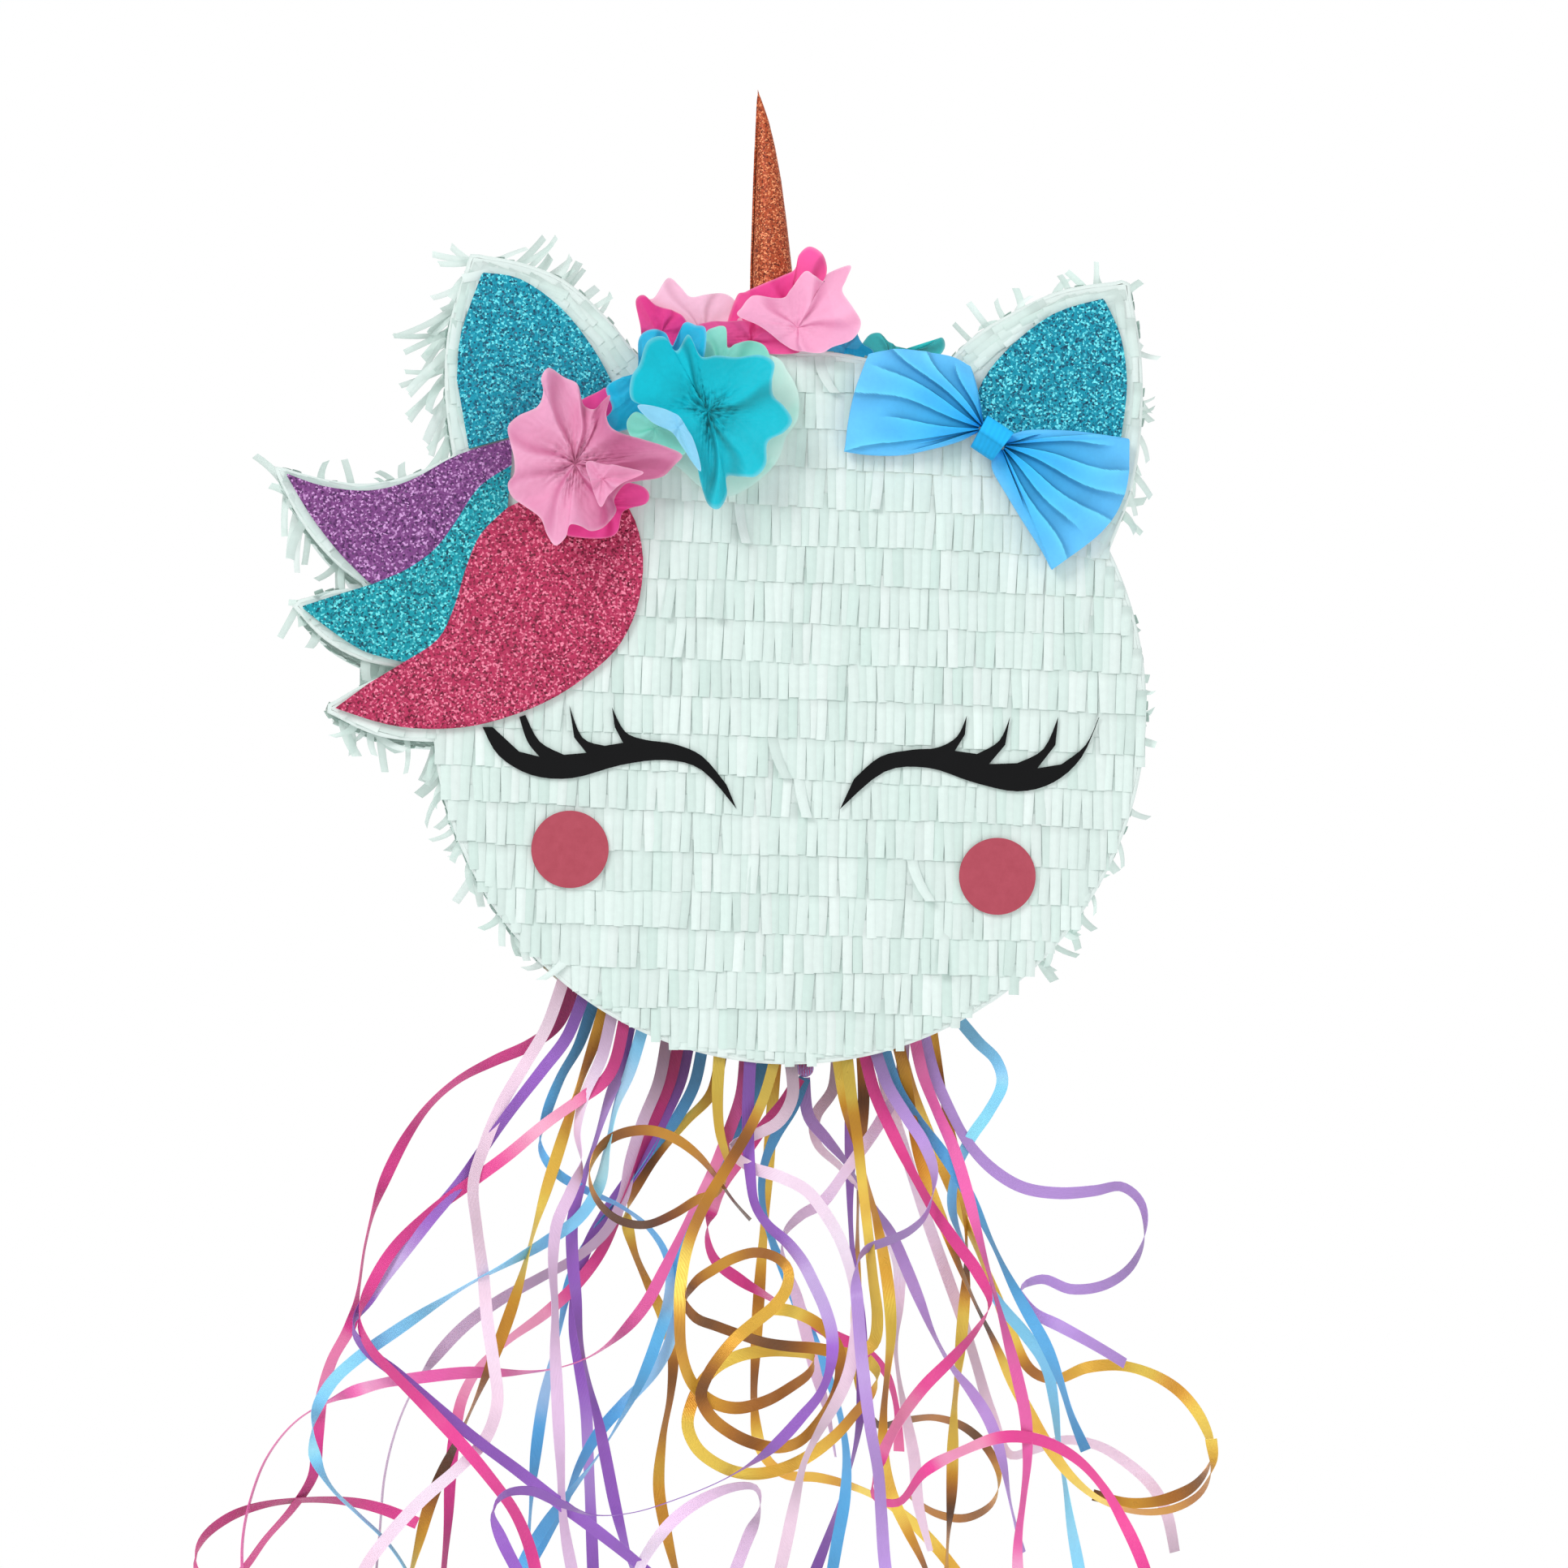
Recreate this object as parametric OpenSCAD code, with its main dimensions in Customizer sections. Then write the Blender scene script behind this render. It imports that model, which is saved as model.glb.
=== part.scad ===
// A pull-ribbon party pinata: a drum of cardboard in the outline of a unicorn's head, covered with
// tissue fringe, with glitter-foam trim, tissue flowers, a bow, and curling ribbons under the chin.
// Frame: the origin is the hang point on the crown, +X to the viewer's right, +Y to the back, +Z up.

/* [Drum] */
// Radius of the round head
head_r = 175; // [170:1:180]
// Depth of the drum from front face to back face
drum_depth = 90; // [80:1:110]
// Thickness of the front and back panels
panel_t = 2; // [1.5:0.5:3]
// Thickness of the side bands
band_t = 1.5; // [1:0.5:2]
// Thickness of the tissue fringe on the front and back
fringe_t = 2; // [1:0.5:3]
// Thickness of the tissue fringe round the rim
rim_fringe_t = 1.5; // [1:0.5:2]

/* [Doors] */
// Width of the trap door in the chin, along the curve
door_w = 40; // [30:2:50]
// Depth of the trap door, front to back
door_d = 56; // [50:2:58]
// Width of the filling flap in the back
flap_w = 90; // [60:5:120]
// Height of the filling flap
flap_h = 80; // [60:5:100]
// Gap cut round each door
cut_gap = 0.5; // [0.4:0.1:1]

/* [Trim] */
// Thickness of the glitter foam
foam_t = 2; // [1:0.5:3]
// Height of the horn
horn_h = 134; // [110:2:140]
// Radius of the horn at its base
horn_r = 13; // [11:0.5:13]
// Radius of each cheek
cheek_r = 19; // [16:1:22]

/* [Hanging] */
// Bore radius of the hanging eyelet
eyelet_r = 4; // [3:0.5:5]
// Outer radius of the eyelet's flange
eyelet_flange_r = 7; // [6:0.5:8]

/* [Ribbons] */
// Width of the curling ribbon
ribbon_w = 6; // [4:0.5:6]
// Thickness of the curling ribbon
ribbon_t = 0.4; // [0.2:0.1:0.4]

/* [Hidden] */
$fn = 96;

half = drum_depth / 2;              // front face at -half, back face at +half
face_y = -half - fringe_t;          // outer surface of the face fringe
foam_y = face_y - foam_t;           // outer surface of the glitter foam
rim_r = head_r + rim_fringe_t;      // outer radius of the rim fringe
tape_t = 0.6;                       // paper tape
tape_w = 13.4;                      // width of each ribbon tape, front to back
tape_r = head_r + tape_t;           // outer radius of the ribbon tapes
chin_from = 146;                    // the chin band's ends, degrees clockwise from the crown
chin_to = 223;
flap_top = -150;                    // the filling flap's crease
eyelet_wall = 0.6;                  // wall of the eyelet's barrel
knot_r = 4.5;                       // the knot of the pull ribbons
knot_x = 10;
knot_z = -head_r - sqrt(head_r * head_r - knot_x * knot_x) - knot_r - 0.4;
smooth_n = 4;                       // steps in each span of a curve

// ---- outline of ears and mane: hand-set points, smoothed between the corners ----

function catmull(a, b, c, d, t) =
    0.5 * (2 * b + (c - a) * t + (2 * a - 5 * b + 4 * c - d) * t * t
    + (3 * b - a - 3 * c + d) * t * t * t);
function span(p, i, t) =
    catmull(p[max(i - 1, 0)], p[i], p[i + 1], p[min(i + 2, len(p) - 1)], t);
function curve(p) = concat(
    [for (i = [0 : len(p) - 2], k = [0 : smooth_n - 1]) span(p, i, k / smooth_n)],
    [p[len(p) - 1]]);

function unit(v) = v / norm(v);
function left_of(a, b) = let (d = unit(b - a)) [-d[1], d[0]];
// Each corner of a closed clockwise outline moved outwards by d, along its mitre, which is cut
// short where a sharp corner would throw it far
function grown(p, d) = let (n = len(p)) [for (i = [0 : n - 1]) let (
    a = left_of(p[(i + n - 1) % n], p[i]),
    b = left_of(p[i], p[(i + 1) % n])) p[i] + d * (a + b) / max(1 + a * b, 0.4)];

// Curves joined end to start into one closed outline, with each shared corner kept once
function chain(curves) = [for (c = curves, i = [0 : len(c) - 2]) c[i]];

left_lobes = chain([
    curve([[-160, -192], [-200, -189], [-227, -177]]),
    curve([[-227, -177], [-210, -167], [-192, -159]]),
    [[-192, -159], [-192, -155]],
    curve([[-192, -155], [-211, -151], [-229, -141], [-243, -126]]),
    curve([[-243, -126], [-226, -121], [-209, -119]]),
    [[-209, -119], [-209, -115]],
    curve([[-209, -115], [-224, -103], [-239, -85], [-252, -60]]),
    curve([[-252, -60], [-230, -66], [-208, -68], [-186, -63], [-165, -53]]),
    curve([[-165, -53], [-169, -20], [-167, 12], [-157, 46]]),
    curve([[-157, 46], [-134, 42], [-112, 33], [-92, 15], [-78, -2], [-60, -21]]),
    [[-60, -21], [-110, -110], [-160, -192]]]);
right_ear = chain([
    curve([[64, -24], [88, 4], [110, 19], [136, 31], [167, 36]]),
    curve([[167, 36], [173, 0], [173, -35], [167, -70], [150, -112]]),
    [[150, -112], [64, -24]]]);
ear_mane_z = -53;                   // the left ear's band starts where the mane's ends

// ---- building blocks ----

// An outline in X and Z, standing between two depths
module slab(y0, y1) translate([0, y1, 0]) rotate([90, 0, 0]) linear_extrude(y1 - y0) children();
module at_head() translate([0, -head_r]) children();
module disc(r) at_head() circle(r, $fn = 180);
// The whole outline of the drum, grown by d
module outline(y0, y1, d = 0) {
    slab(y0, y1) disc(head_r + d);
    for (p = [left_lobes, right_ear]) slab(y0, y1) polygon(grown(p, d));
}
// A wedge of the head between two angles, degrees clockwise from the crown
module wedge(a0, a1) at_head() polygon(concat([[0, 0]],
    [for (i = [0 : 4]) let (a = a0 + (a1 - a0) * i / 4) 2 * head_r * [sin(a), cos(a)]]));
module ring_part(a0, a1, r0, r1) intersection() {
    difference() {
        disc(r1);
        disc(r0);
    }
    wedge(a0, a1);
}
module round_band(a0, a1)
    slab(panel_t - half, half - panel_t) ring_part(a0, a1, head_r - band_t, head_r);
module lobe_band(p) slab(panel_t - half, half - panel_t) difference() {
    polygon(p);
    polygon(grown(p, -band_t));
    disc(head_r);
}

// ---- cardboard drum ----

module flap_2d(gap) translate([-flap_w / 2 + gap, flap_top - flap_h + gap])
    square([flap_w - 2 * gap, flap_h - gap]);

module front_panel() color("tan") outline(-half, panel_t - half);
module back_panel() color("tan") difference() {
    outline(half - panel_t, half);
    slab(0, 2 * half) flap_2d(0);
}
module crown_band() color("tan") difference() {
    round_band(-26, 28);
    cylinder(r = eyelet_r + eyelet_wall, h = 20, center = true);
}
module above(z) translate([-head_r * 2, -drum_depth, z]) cube([head_r * 2, 2 * drum_depth, head_r]);
module left_ear_band() color("tan") intersection() {
    lobe_band(left_lobes);
    above(ear_mane_z);
}
module right_ear_band() color("tan") lobe_band(right_ear);
module mane_band() color("tan") difference() {
    lobe_band(left_lobes);
    above(ear_mane_z);
}
module right_side_band() color("tan") round_band(62, chin_from);
module left_side_band() color("tan") round_band(chin_to, 266);
module door_hole(gap)
    translate([-door_w / 2 + gap, -door_d / 2 + gap, -2 * head_r - 5])
        cube([door_w - 2 * gap, door_d - 2 * gap, 30]);
module chin_band() color("tan") difference() {
    round_band(chin_from, chin_to);
    door_hole(0);
}
module trap_door() color("burlywood") intersection() {
    slab(-half, half) ring_part(chin_from, chin_to, head_r - band_t, head_r);
    door_hole(cut_gap);
}

// ---- filling flap ----

flap_skin_y = half + fringe_t + 0.1;
module fill_flap() color("tan") slab(half - panel_t, half) flap_2d(cut_gap);
module fill_flap_fringe() color("honeydew") slab(half, flap_skin_y) flap_2d(cut_gap);
module fill_flap_tape() color("ivory")
    translate([-14, flap_skin_y, flap_top - flap_h - 10]) cube([28, 0.4, 26]);

// ---- hanging point ----

plate_z = -5;                       // underside of the reinforcing plate
flange_t = 0.6;                     // each flange of the eyelet
flange_z = 0.2;                     // underside of the upper flange
plate_w = 44;
plate_d = 52;
plate_t = 2;
module hang_plate() color("peru") difference() {
    translate([-plate_w / 2, -plate_d / 2, plate_z]) cube([plate_w, plate_d, plate_t]);
    translate([0, 0, plate_z]) cylinder(r = eyelet_r + eyelet_wall, h = 10, center = true);
}
module hang_eyelet() color("goldenrod") rotate_extrude() polygon([
    [eyelet_r, plate_z - flange_t], [eyelet_flange_r, plate_z - flange_t],
    [eyelet_flange_r, plate_z], [eyelet_r + eyelet_wall, plate_z],
    [eyelet_r + eyelet_wall, flange_z], [eyelet_flange_r, flange_z],
    [eyelet_flange_r, flange_z + flange_t], [eyelet_r, flange_z + flange_t]]);

// ---- tissue fringe ----

module face_fringe() color("honeydew") outline(face_y, -half, rim_fringe_t);
module back_fringe() color("honeydew") difference() {
    outline(half, half + fringe_t, rim_fringe_t);
    slab(0, 2 * half) flap_2d(0);
}
module rim_fringe() color("honeydew") difference() {
    outline(-half, half, rim_fringe_t);
    outline(-half - 1, half + 1);
    slab(-half - 1, half + 1) wedge(chin_from, chin_to);
    cylinder(r = eyelet_flange_r + 1, h = 20, center = true);
}

// ---- glitter foam ----

module foam(p) slab(foam_y, face_y) polygon(p);
module left_ear_foam() color("darkcyan") foam(concat(
    curve([[-152, 38], [-134, 35], [-114, 21], [-98, 1], [-87, -19]]),
    [[-114, -35], [-138, -43], [-159, -49]],
    curve([[-165, -15], [-163, 8], [-153, 37]])));
module right_ear_foam() color("darkcyan") foam(concat(
    curve([[93, -35], [93, -18], [106, 1], [130, 20], [155, 28]]),
    curve([[156, 27], [164, 9], [167, -15], [164, -41]]),
    [[130, -43], [100, -43]]));
purple_edge = curve([[-138, -57], [-154, -68], [-166, -86], [-176, -99], [-190, -109], [-206, -116]]);
aqua_edge = curve([[-140, -78], [-153, -91], [-160, -107], [-166, -127], [-174, -143], [-190, -154]]);
function backwards(p) = [for (i = [len(p) - 1 : -1 : 0]) p[i]];
module mane_purple_foam() color("purple") foam(concat(
    curve([[-248, -62], [-230, -68], [-208, -70], [-188, -65], [-164, -52], [-138, -44]]),
    purple_edge,
    curve([[-208, -115], [-222, -101], [-236, -83], [-248, -63]])));
module mane_aqua_foam() color("darkturquoise") foam(concat(
    backwards(purple_edge), aqua_edge,
    curve([[-192, -154], [-210, -149], [-226, -139], [-240, -128]]),
    [[-240, -127], [-222, -121]]));
module mane_pink_foam() color("crimson") foam(concat(
    backwards(aqua_edge),
    curve([[-138, -77], [-110, -66], [-84, -74], [-74, -96], [-75, -122], [-84, -144], [-100, -160],
        [-122, -174], [-150, -184], [-174, -187], [-198, -185], [-224, -177]]),
    [[-208, -165]]));

// ---- horn: a rolled foam cone that leans to the left ----

horn_x = -5;
horn_y = -21.5;
horn_lean = -4.2;
module horn_cone(inset) translate([horn_x, horn_y, 0]) rotate([0, horn_lean, 0])
    translate([0, 0, -2]) cylinder(r1 = horn_r - inset, r2 = 0.8, h = horn_h + 3 - 6 * inset);
module horn() color("sienna") difference() {
    horn_cone(0);
    horn_cone(foam_t);
    slab(-half - 5, half + 5) disc(rim_r + 0.05);
}

// ---- tissue flowers, as plain flared solids of the real size ----

module face_cone(x, z, y0, y1, r0, r1)
    translate([x, y1, z]) rotate([90, 0, 0]) cylinder(r1 = r0, r2 = r1, h = y1 - y0);
flower_y = foam_y - 0.5;
module clear_of_aqua() translate([-42, 0, -31]) rotate([90, 0, 0]) cylinder(r = 46.5, h = 90);
module pink_flower_front() color("pink") difference() {
    face_cone(-102, -55, flower_y - 26, flower_y - 6, 15, 42);
    clear_of_aqua();
}
module pink_flower_back() color("hotpink") difference() {
    face_cone(-98, -60, flower_y - 6, flower_y, 20, 38);
    clear_of_aqua();
}
module aqua_flower_front() color("deepskyblue") face_cone(-42, -31, face_y - 28, face_y - 7, 16, 46);
module aqua_flower_back() color("aquamarine") face_cone(-40, -33, face_y - 7, face_y, 24, 44);
// Half flowers that stand on the rim
module rim_fan(x, z, r, y0, y1) difference() {
    face_cone(x, z, y0, y1, r, r);
    outline(-2 * half, 2 * half, rim_fringe_t + 0.05);
}
module crown_flower_front() color("pink") rim_fan(-24, -2, 52, face_y, -42);
module crown_flower_back() color("hotpink") rim_fan(-28, 0, 50, -42, -36);
module small_aqua_flower() color("turquoise") rim_fan(54, -22, 34, -34, -26);

// ---- bow ----

wing_back = foam_y - 0.5;           // clear of the ear's foam
wing_front = wing_back - 12;
module bow_left_wing() color("dodgerblue") slab(wing_front, wing_back) polygon(concat(
    curve([[92, -39], [72, -48], [50, -52], [26, -50]]),
    curve([[27, -49], [31, -24], [40, 2]]),
    curve([[41, 2], [62, 0], [82, -2]]),
    [[90, -16], [96, -31]]));
module bow_right_wing() color("dodgerblue") slab(wing_front, wing_back) polygon(concat(
    [[106, -42]],
    curve([[118, -41], [142, -43], [166, -41]]),
    curve([[166, -43], [166, -64], [158, -88]]),
    curve([[157, -89], [146, -98], [130, -105]]),
    [[112, -78], [100, -53]]));
module bow_knot() color("dodgerblue") translate([98.5, foam_y - 1, -41.5]) rotate([0, -48, 0])
    translate([-7, -15, -3]) cube([14, 14, 6]);

// ---- eyelashes and cheeks ----

module lash(p) color("black") slab(face_y - 0.6, face_y) polygon(p);
module left_eyelash() lash(concat(
    curve([[-152, -186], [-144, -200], [-128, -209.5], [-108, -211], [-84, -204.5], [-62, -202],
        [-44, -207], [-27, -226]]),
    curve([[-32, -214], [-44, -200], [-58, -194], [-72, -192], [-82, -188], [-88.5, -176]]),
    curve([[-87, -186], [-83, -193.5]]), curve([[-92, -195], [-103, -191], [-109.5, -175]]),
    curve([[-107, -191], [-101, -198.5]]), curve([[-112, -199.5], [-124, -193], [-131, -180]]),
    curve([[-134, -181], [-130, -193], [-124, -200.5]]), curve([[-134, -198], [-147, -186]])));
module right_eyelash() lash(concat(
    backwards(curve([[153, -180], [144, -200], [130, -212.5], [112, -217], [90, -212.5],
        [68, -205.5], [46, -207.5], [24, -226]])),
    backwards(concat(curve([[31, -211], [44, -200], [60, -196.5], [72, -195.5], [82, -190],
        [87, -179.5]]),
    curve([[86, -189], [81, -197]]), curve([[92, -198.5], [103, -192], [108.5, -180]]),
    curve([[106, -194], [98, -203.5]]), curve([[112, -203], [125, -196], [132.5, -180]]),
    curve([[131, -194], [122, -205.5]]), curve([[134, -203.5], [146, -194], [152.5, -180.5]])))));
module cheek(x, z) color("palevioletred") slab(face_y - 1, face_y) translate([x, z]) circle(cheek_r);
module left_cheek() cheek(-109, -246);
module right_cheek() cheek(102, -259);

// ---- ribbons ----
// Each has its node, its row ("front" or "back" tape, or "pull" for the knot on the trap door), its
// rank in that row from front to back, the X of its root and its route in X and Z. The optional
// third number of a point moves the ribbon in depth, where it passes over itself.

RIBBONS = [
    ["gold_ribbon_coil", "front", 0, -8, [[-13, -367, -2], [-21, -384, -6], [-32, -402, -9],
        [-43, -420, -10], [-51, -438, -11], [-55, -456, -12], [-56, -474, -13], [-55, -491, -15],
        [-50, -505, -17], [-40, -514, -18], [-28, -517, -18], [-14, -514, -16], [-2, -508, -12],
        [8, -501, -8], [9, -493, -4], [-3, -491, -1], [-14, -491, -1], [-26, -493, -1],
        [-37, -498, -2], [-45, -506, -4], [-50, -516, -7], [-52, -526, -11], [-48, -536, -14],
        [-40, -543, -17], [-29, -548, -18], [-17, -549, -18], [-4, -546, -17], [8, -540, -15],
        [20, -531, -12], [30, -520, -10], [38, -511, -7], [41, -502, -4], [36, -495, -2]]],
    ["gold_ribbon_coil", "front", -1, 28, [[30, -368, -2], [33, -390, -4], [35, -412, -6],
        [37, -434, -7], [39, -456, -7], [41, -474, -6], [39, -487, -6], [30, -492, -6],
        [20, -491, -6], [9, -489, -6], [-3, -488, -6], [-15, -486, -6], [-27, -482, -7],
        [-38, -478, -7], [-48, -474, -8], [-53, -466, -8], [-48, -457, -9], [-39, -451, -9],
        [-30, -446, -10], [-19, -443, -10], [-9, -445, -11], [-3, -451, -12], [-4, -460, -13],
        [-10, -468, -15], [-19, -475, -16], [-29, -483, -18], [-37, -492, -19], [-43, -501, -20],
        [-46, -511, -20], [-41, -521, -20], [-31, -529, -20], [-20, -534, -20], [-8, -536, -20],
        [2, -533, -20], [11, -524, -18], [18, -513, -16], [22, -501, -13], [21, -489, -11],
        [16, -481, -8], [8, -475, -7], [-2, -471, -6], [-12, -470, -6]]],
    ["gold_ribbons_left", "front", 1, -35, [[-36, -366], [-35, -384], [-31, -402], [-36, -414],
        [-46, -418], [-58, -425], [-72, -430], [-86, -427], [-96, -417], [-99, -405], [-94, -393],
        [-84, -386], [-70, -384], [-57, -388], [-45, -397, -0.6], [-36, -408, -0.9],
        [-28, -419, -0.9], [-20, -428, -0.9]]],
    ["magenta_ribbons_left", "front", 2, -82, [[-86, -349], [-92, -360], [-104, -369], [-121, -381],
        [-139, -396], [-158, -410], [-177, -424], [-193, -439], [-204, -456], [-211, -474],
        [-206, -489], [-193, -503], [-177, -519], [-161, -536], [-147, -553], [-135, -570],
        [-127, -590], [-123, -612], [-120, -634]]],
    ["purple_ribbons_left", "front", 4, -102, [[-110, -338], [-122, -354], [-136, -372],
        [-149, -390], [-162, -409], [-177, -427], [-192, -446], [-205, -463], [-214, -478],
        [-208, -490], [-193, -502], [-174, -518], [-154, -534], [-134, -549], [-114, -565],
        [-94, -580], [-74, -596], [-56, -612], [-44, -632]]],
    ["pale_ribbons", "front", 5, -112, [[-120, -333], [-131, -352], [-142, -371], [-150, -390],
        [-156, -410], [-154, -432], [-151, -454], [-149, -476], [-146, -496], [-144, -516],
        [-150, -534], [-164, -549], [-180, -563], [-196, -580], [-209, -598], [-216, -620]]],
    ["magenta_ribbon_right", "front", 6, 37, [[42, -366], [51, -386], [61, -406], [71, -424],
        [82, -440], [92, -454], [98, -469], [91, -483], [79, -497], [65, -511], [53, -527],
        [44, -545], [40, -562, -0.5], [53, -566, -0.9], [66, -551, -0.9], [86, -541, -0.9],
        [105, -535, -0.9], [124, -537, -0.9],
        [141, -546, -0.9], [154, -560, -0.9], [164, -577, -0.9], [172, -594, -0.9],
        [180, -616, -0.9]]],
    ["pink_ribbons", "front", 7, 62, [[66, -357], [73, -375], [81, -393], [87, -412], [92, -431],
        [97, -450], [102, -469], [107, -488], [112, -507], [116, -526], [117, -546], [115, -566],
        [112, -588], [112, -612]]],
    ["light_blue_ribbons", "front", 8, -73, [[-79, -355], [-86, -373], [-90, -392], [-94, -411],
        [-104, -427], [-121, -439], [-139, -449], [-158, -459], [-176, -470], [-194, -482],
        [-211, -494], [-225, -507], [-233, -523], [-233, -541], [-225, -557], [-211, -571],
        [-197, -585], [-186, -603], [-180, -626]]],
    ["gold_ribbons_left", "front", 9, -92, [[-97, -342], [-103, -359], [-109, -378], [-115, -397],
        [-121, -416], [-127, -436], [-132, -455], [-138, -474], [-145, -493], [-153, -512],
        [-161, -530], [-170, -549], [-177, -567], [-182, -585], [-187, -605], [-190, -626]]],
    ["gold_ribbons_middle", "front", 10, 24, [[27, -368], [32, -387], [37, -406], [42, -425],
        [46, -444], [49, -464], [50, -484], [48, -504], [46, -524], [46, -545], [50, -563],
        [58, -581], [67, -600], [74, -622]]],
    ["blue_ribbon_right", "front", 11, 47, [[53, -363], [63, -378], [74, -393], [84, -408],
        [93, -424], [101, -441], [109, -458], [118, -475], [127, -491], [134, -508], [140, -526],
        [147, -543]]],
    ["pink_ribbons", "front", 12, -22, [[-24, -367], [-30, -385], [-37, -402], [-46, -419],
        [-54, -436], [-62, -453], [-71, -470], [-83, -484], [-98, -495], [-116, -501], [-136, -503],
        [-158, -503], [-180, -505], [-202, -508], [-223, -515], [-242, -526], [-256, -543],
        [-264, -563], [-268, -584], [-268, -608]]],
    ["purple_ribbons_left", "front", 13, -79, [[-84, -354], [-90, -371], [-96, -390], [-102, -409],
        [-107, -428], [-107, -448], [-105, -468], [-103, -488], [-99, -508], [-94, -528],
        [-90, -548], [-86, -568], [-81, -588], [-75, -608], [-70, -634]]],
    ["gold_ribbons_right", "front", 14, 54, [[58, -360], [61, -380], [65, -399], [71, -417],
        [78, -435], [85, -453], [93, -471], [102, -489], [110, -507], [119, -524], [128, -540],
        [140, -556], [155, -568], [173, -574], [191, -573], [205, -565], [211, -551],
        [210, -538]]],
    ["magenta_ribbons_left", "front", 15, -107, [[-114, -331], [-128, -342], [-146, -350],
        [-163, -359], [-177, -371], [-188, -386], [-197, -403], [-204, -421], [-209, -441],
        [-212, -461], [-216, -480], [-225, -497], [-230, -515], [-232, -535], [-234, -553],
        [-244, -569], [-257, -584], [-269, -600], [-282, -608], [-291, -598, -0.6],
        [-288, -584, -1.1], [-275, -573, -1.2], [-258, -567, -1.2], [-238, -565, -1.2],
        [-218, -566, -1.2], [-200, -570, -1.2], [-183, -577, -1.2]]],
    ["lilac_ribbons", "front", 16, 67, [[72, -357], [80, -375], [89, -391], [101, -404],
        [116, -413], [134, -416], [152, -415], [166, -413], [176, -422], [177, -438], [170, -453],
        [157, -462], [141, -464], [127, -459], [116, -464], [122, -475], [135, -482], [148, -489],
        [160, -496], [168, -501]]],
    ["blue_ribbons_left", "front", 17, -97, [[-104, -342], [-113, -358], [-120, -376],
        [-123, -392], [-115, -405], [-100, -414], [-83, -422], [-69, -433], [-60, -448],
        [-59, -468], [-65, -488], [-73, -508], [-83, -527], [-94, -545], [-107, -562],
        [-120, -579], [-131, -598], [-138, -620]]],
    ["light_blue_ribbons", "front", 18, 84, [[94, -341], [103, -350], [106, -362], [99, -376],
        [90, -389], [83, -405], [81, -423], [87, -441], [96, -457], [107, -473], [119, -487],
        [129, -502], [133, -521], [135, -541], [138, -561], [141, -581], [145, -602],
        [149, -626]]],
    ["blue_ribbons_left", "front", 21, -13, [[-16, -366], [-24, -382], [-33, -399], [-42, -416],
        [-50, -433], [-55, -451], [-57, -470], [-58, -488], [-66, -504], [-80, -519], [-93, -534],
        [-103, -551], [-110, -569], [-120, -586], [-130, -604], [-136, -628]]],
    ["mauve_ribbons", "back", 0, -58, [[-62, -362], [-70, -382], [-76, -401], [-80, -420],
        [-89, -437], [-104, -450], [-122, -460], [-142, -471], [-160, -484], [-175, -500],
        [-187, -518], [-195, -538], [-200, -560], [-202, -584], [-204, -608]]],
    ["magenta_ribbons_left", "back", 1, -52, [[-56, -361], [-63, -379], [-70, -397], [-77, -415],
        [-84, -433], [-93, -450], [-106, -466], [-121, -479], [-138, -491], [-152, -504],
        [-161, -520], [-165, -540], [-167, -560], [-168, -581], [-170, -604], [-172, -628]]],
    ["purple_ribbons_left", "back", 2, -47, [[-51, -362], [-59, -380], [-68, -398], [-79, -414],
        [-90, -430], [-99, -447], [-104, -466], [-105, -486], [-102, -506], [-99, -526],
        [-98, -546], [-97, -566], [-96, -588], [-95, -612]]],
    ["blue_ribbons_left", "back", 3, -40, [[-44, -364], [-53, -381], [-64, -397], [-76, -413],
        [-88, -430], [-100, -448], [-108, -466], [-112, -486], [-117, -506], [-121, -526],
        [-124, -547], [-126, -568], [-128, -592], [-132, -618]]],
    ["gold_ribbons_middle", "back", 4, -30, [[-35, -368], [-48, -382], [-61, -396], [-71, -411],
        [-78, -428], [-75, -446], [-68, -463], [-60, -480], [-55, -499], [-56, -520], [-60, -542],
        [-62, -566], [-58, -590], [-52, -614]]],
    ["pale_ribbons", "back", 5, 29, [[27, -366], [18, -380], [19, -394], [31, -406], [43, -420],
        [53, -436], [60, -454], [60, -474], [58, -494], [60, -514], [64, -534], [68, -554],
        [70, -576], [76, -600]]],
    ["gold_ribbons_right", "back", 6, 77, [[80, -353], [84, -373], [88, -394], [93, -416],
        [95, -438], [95, -460], [93, -481], [91, -502], [89, -524], [88, -546], [87, -570],
        [85, -594], [84, -618]]],
    ["gold_ribbons_right", "back", 7, 60, [[66, -362], [74, -384], [84, -408], [95, -434],
        [106, -460], [116, -486], [127, -508], [141, -514], [157, -508], [174, -507],
        [191, -512], [206, -522], [217, -537], [221, -553], [213, -567], [197, -575],
        [178, -577], [160, -573]]],
    ["purple_ribbons_right", "back", 9, 34, [[36, -372], [36, -400], [36, -428], [38, -456],
        [41, -482], [42, -508], [41, -534], [37, -556], [31, -576], [24, -596], [16, -616]]],
    ["gold_ribbons_middle", "back", 10, -2, [[-4, -378], [-6, -408], [-8, -438], [-10, -468],
        [-12, -498], [-13, -526], [-9, -550], [3, -562], [20, -564], [36, -568], [52, -575],
        [66, -585], [79, -598], [92, -614]]],
    ["gold_ribbons_right", "back", 11, 42, [[43, -372], [41, -402], [40, -432], [40, -462],
        [40, -492], [42, -520], [50, -537], [65, -535], [80, -534], [95, -539], [107, -550],
        [113, -564], [109, -578], [95, -585], [79, -582], [66, -573]]],
    ["pale_ribbons", "back", 12, 50, [[55, -368], [63, -394], [72, -422], [82, -450], [92, -478],
        [101, -506], [109, -532], [118, -553], [131, -551], [147, -546], [164, -549], [179, -558],
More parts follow.
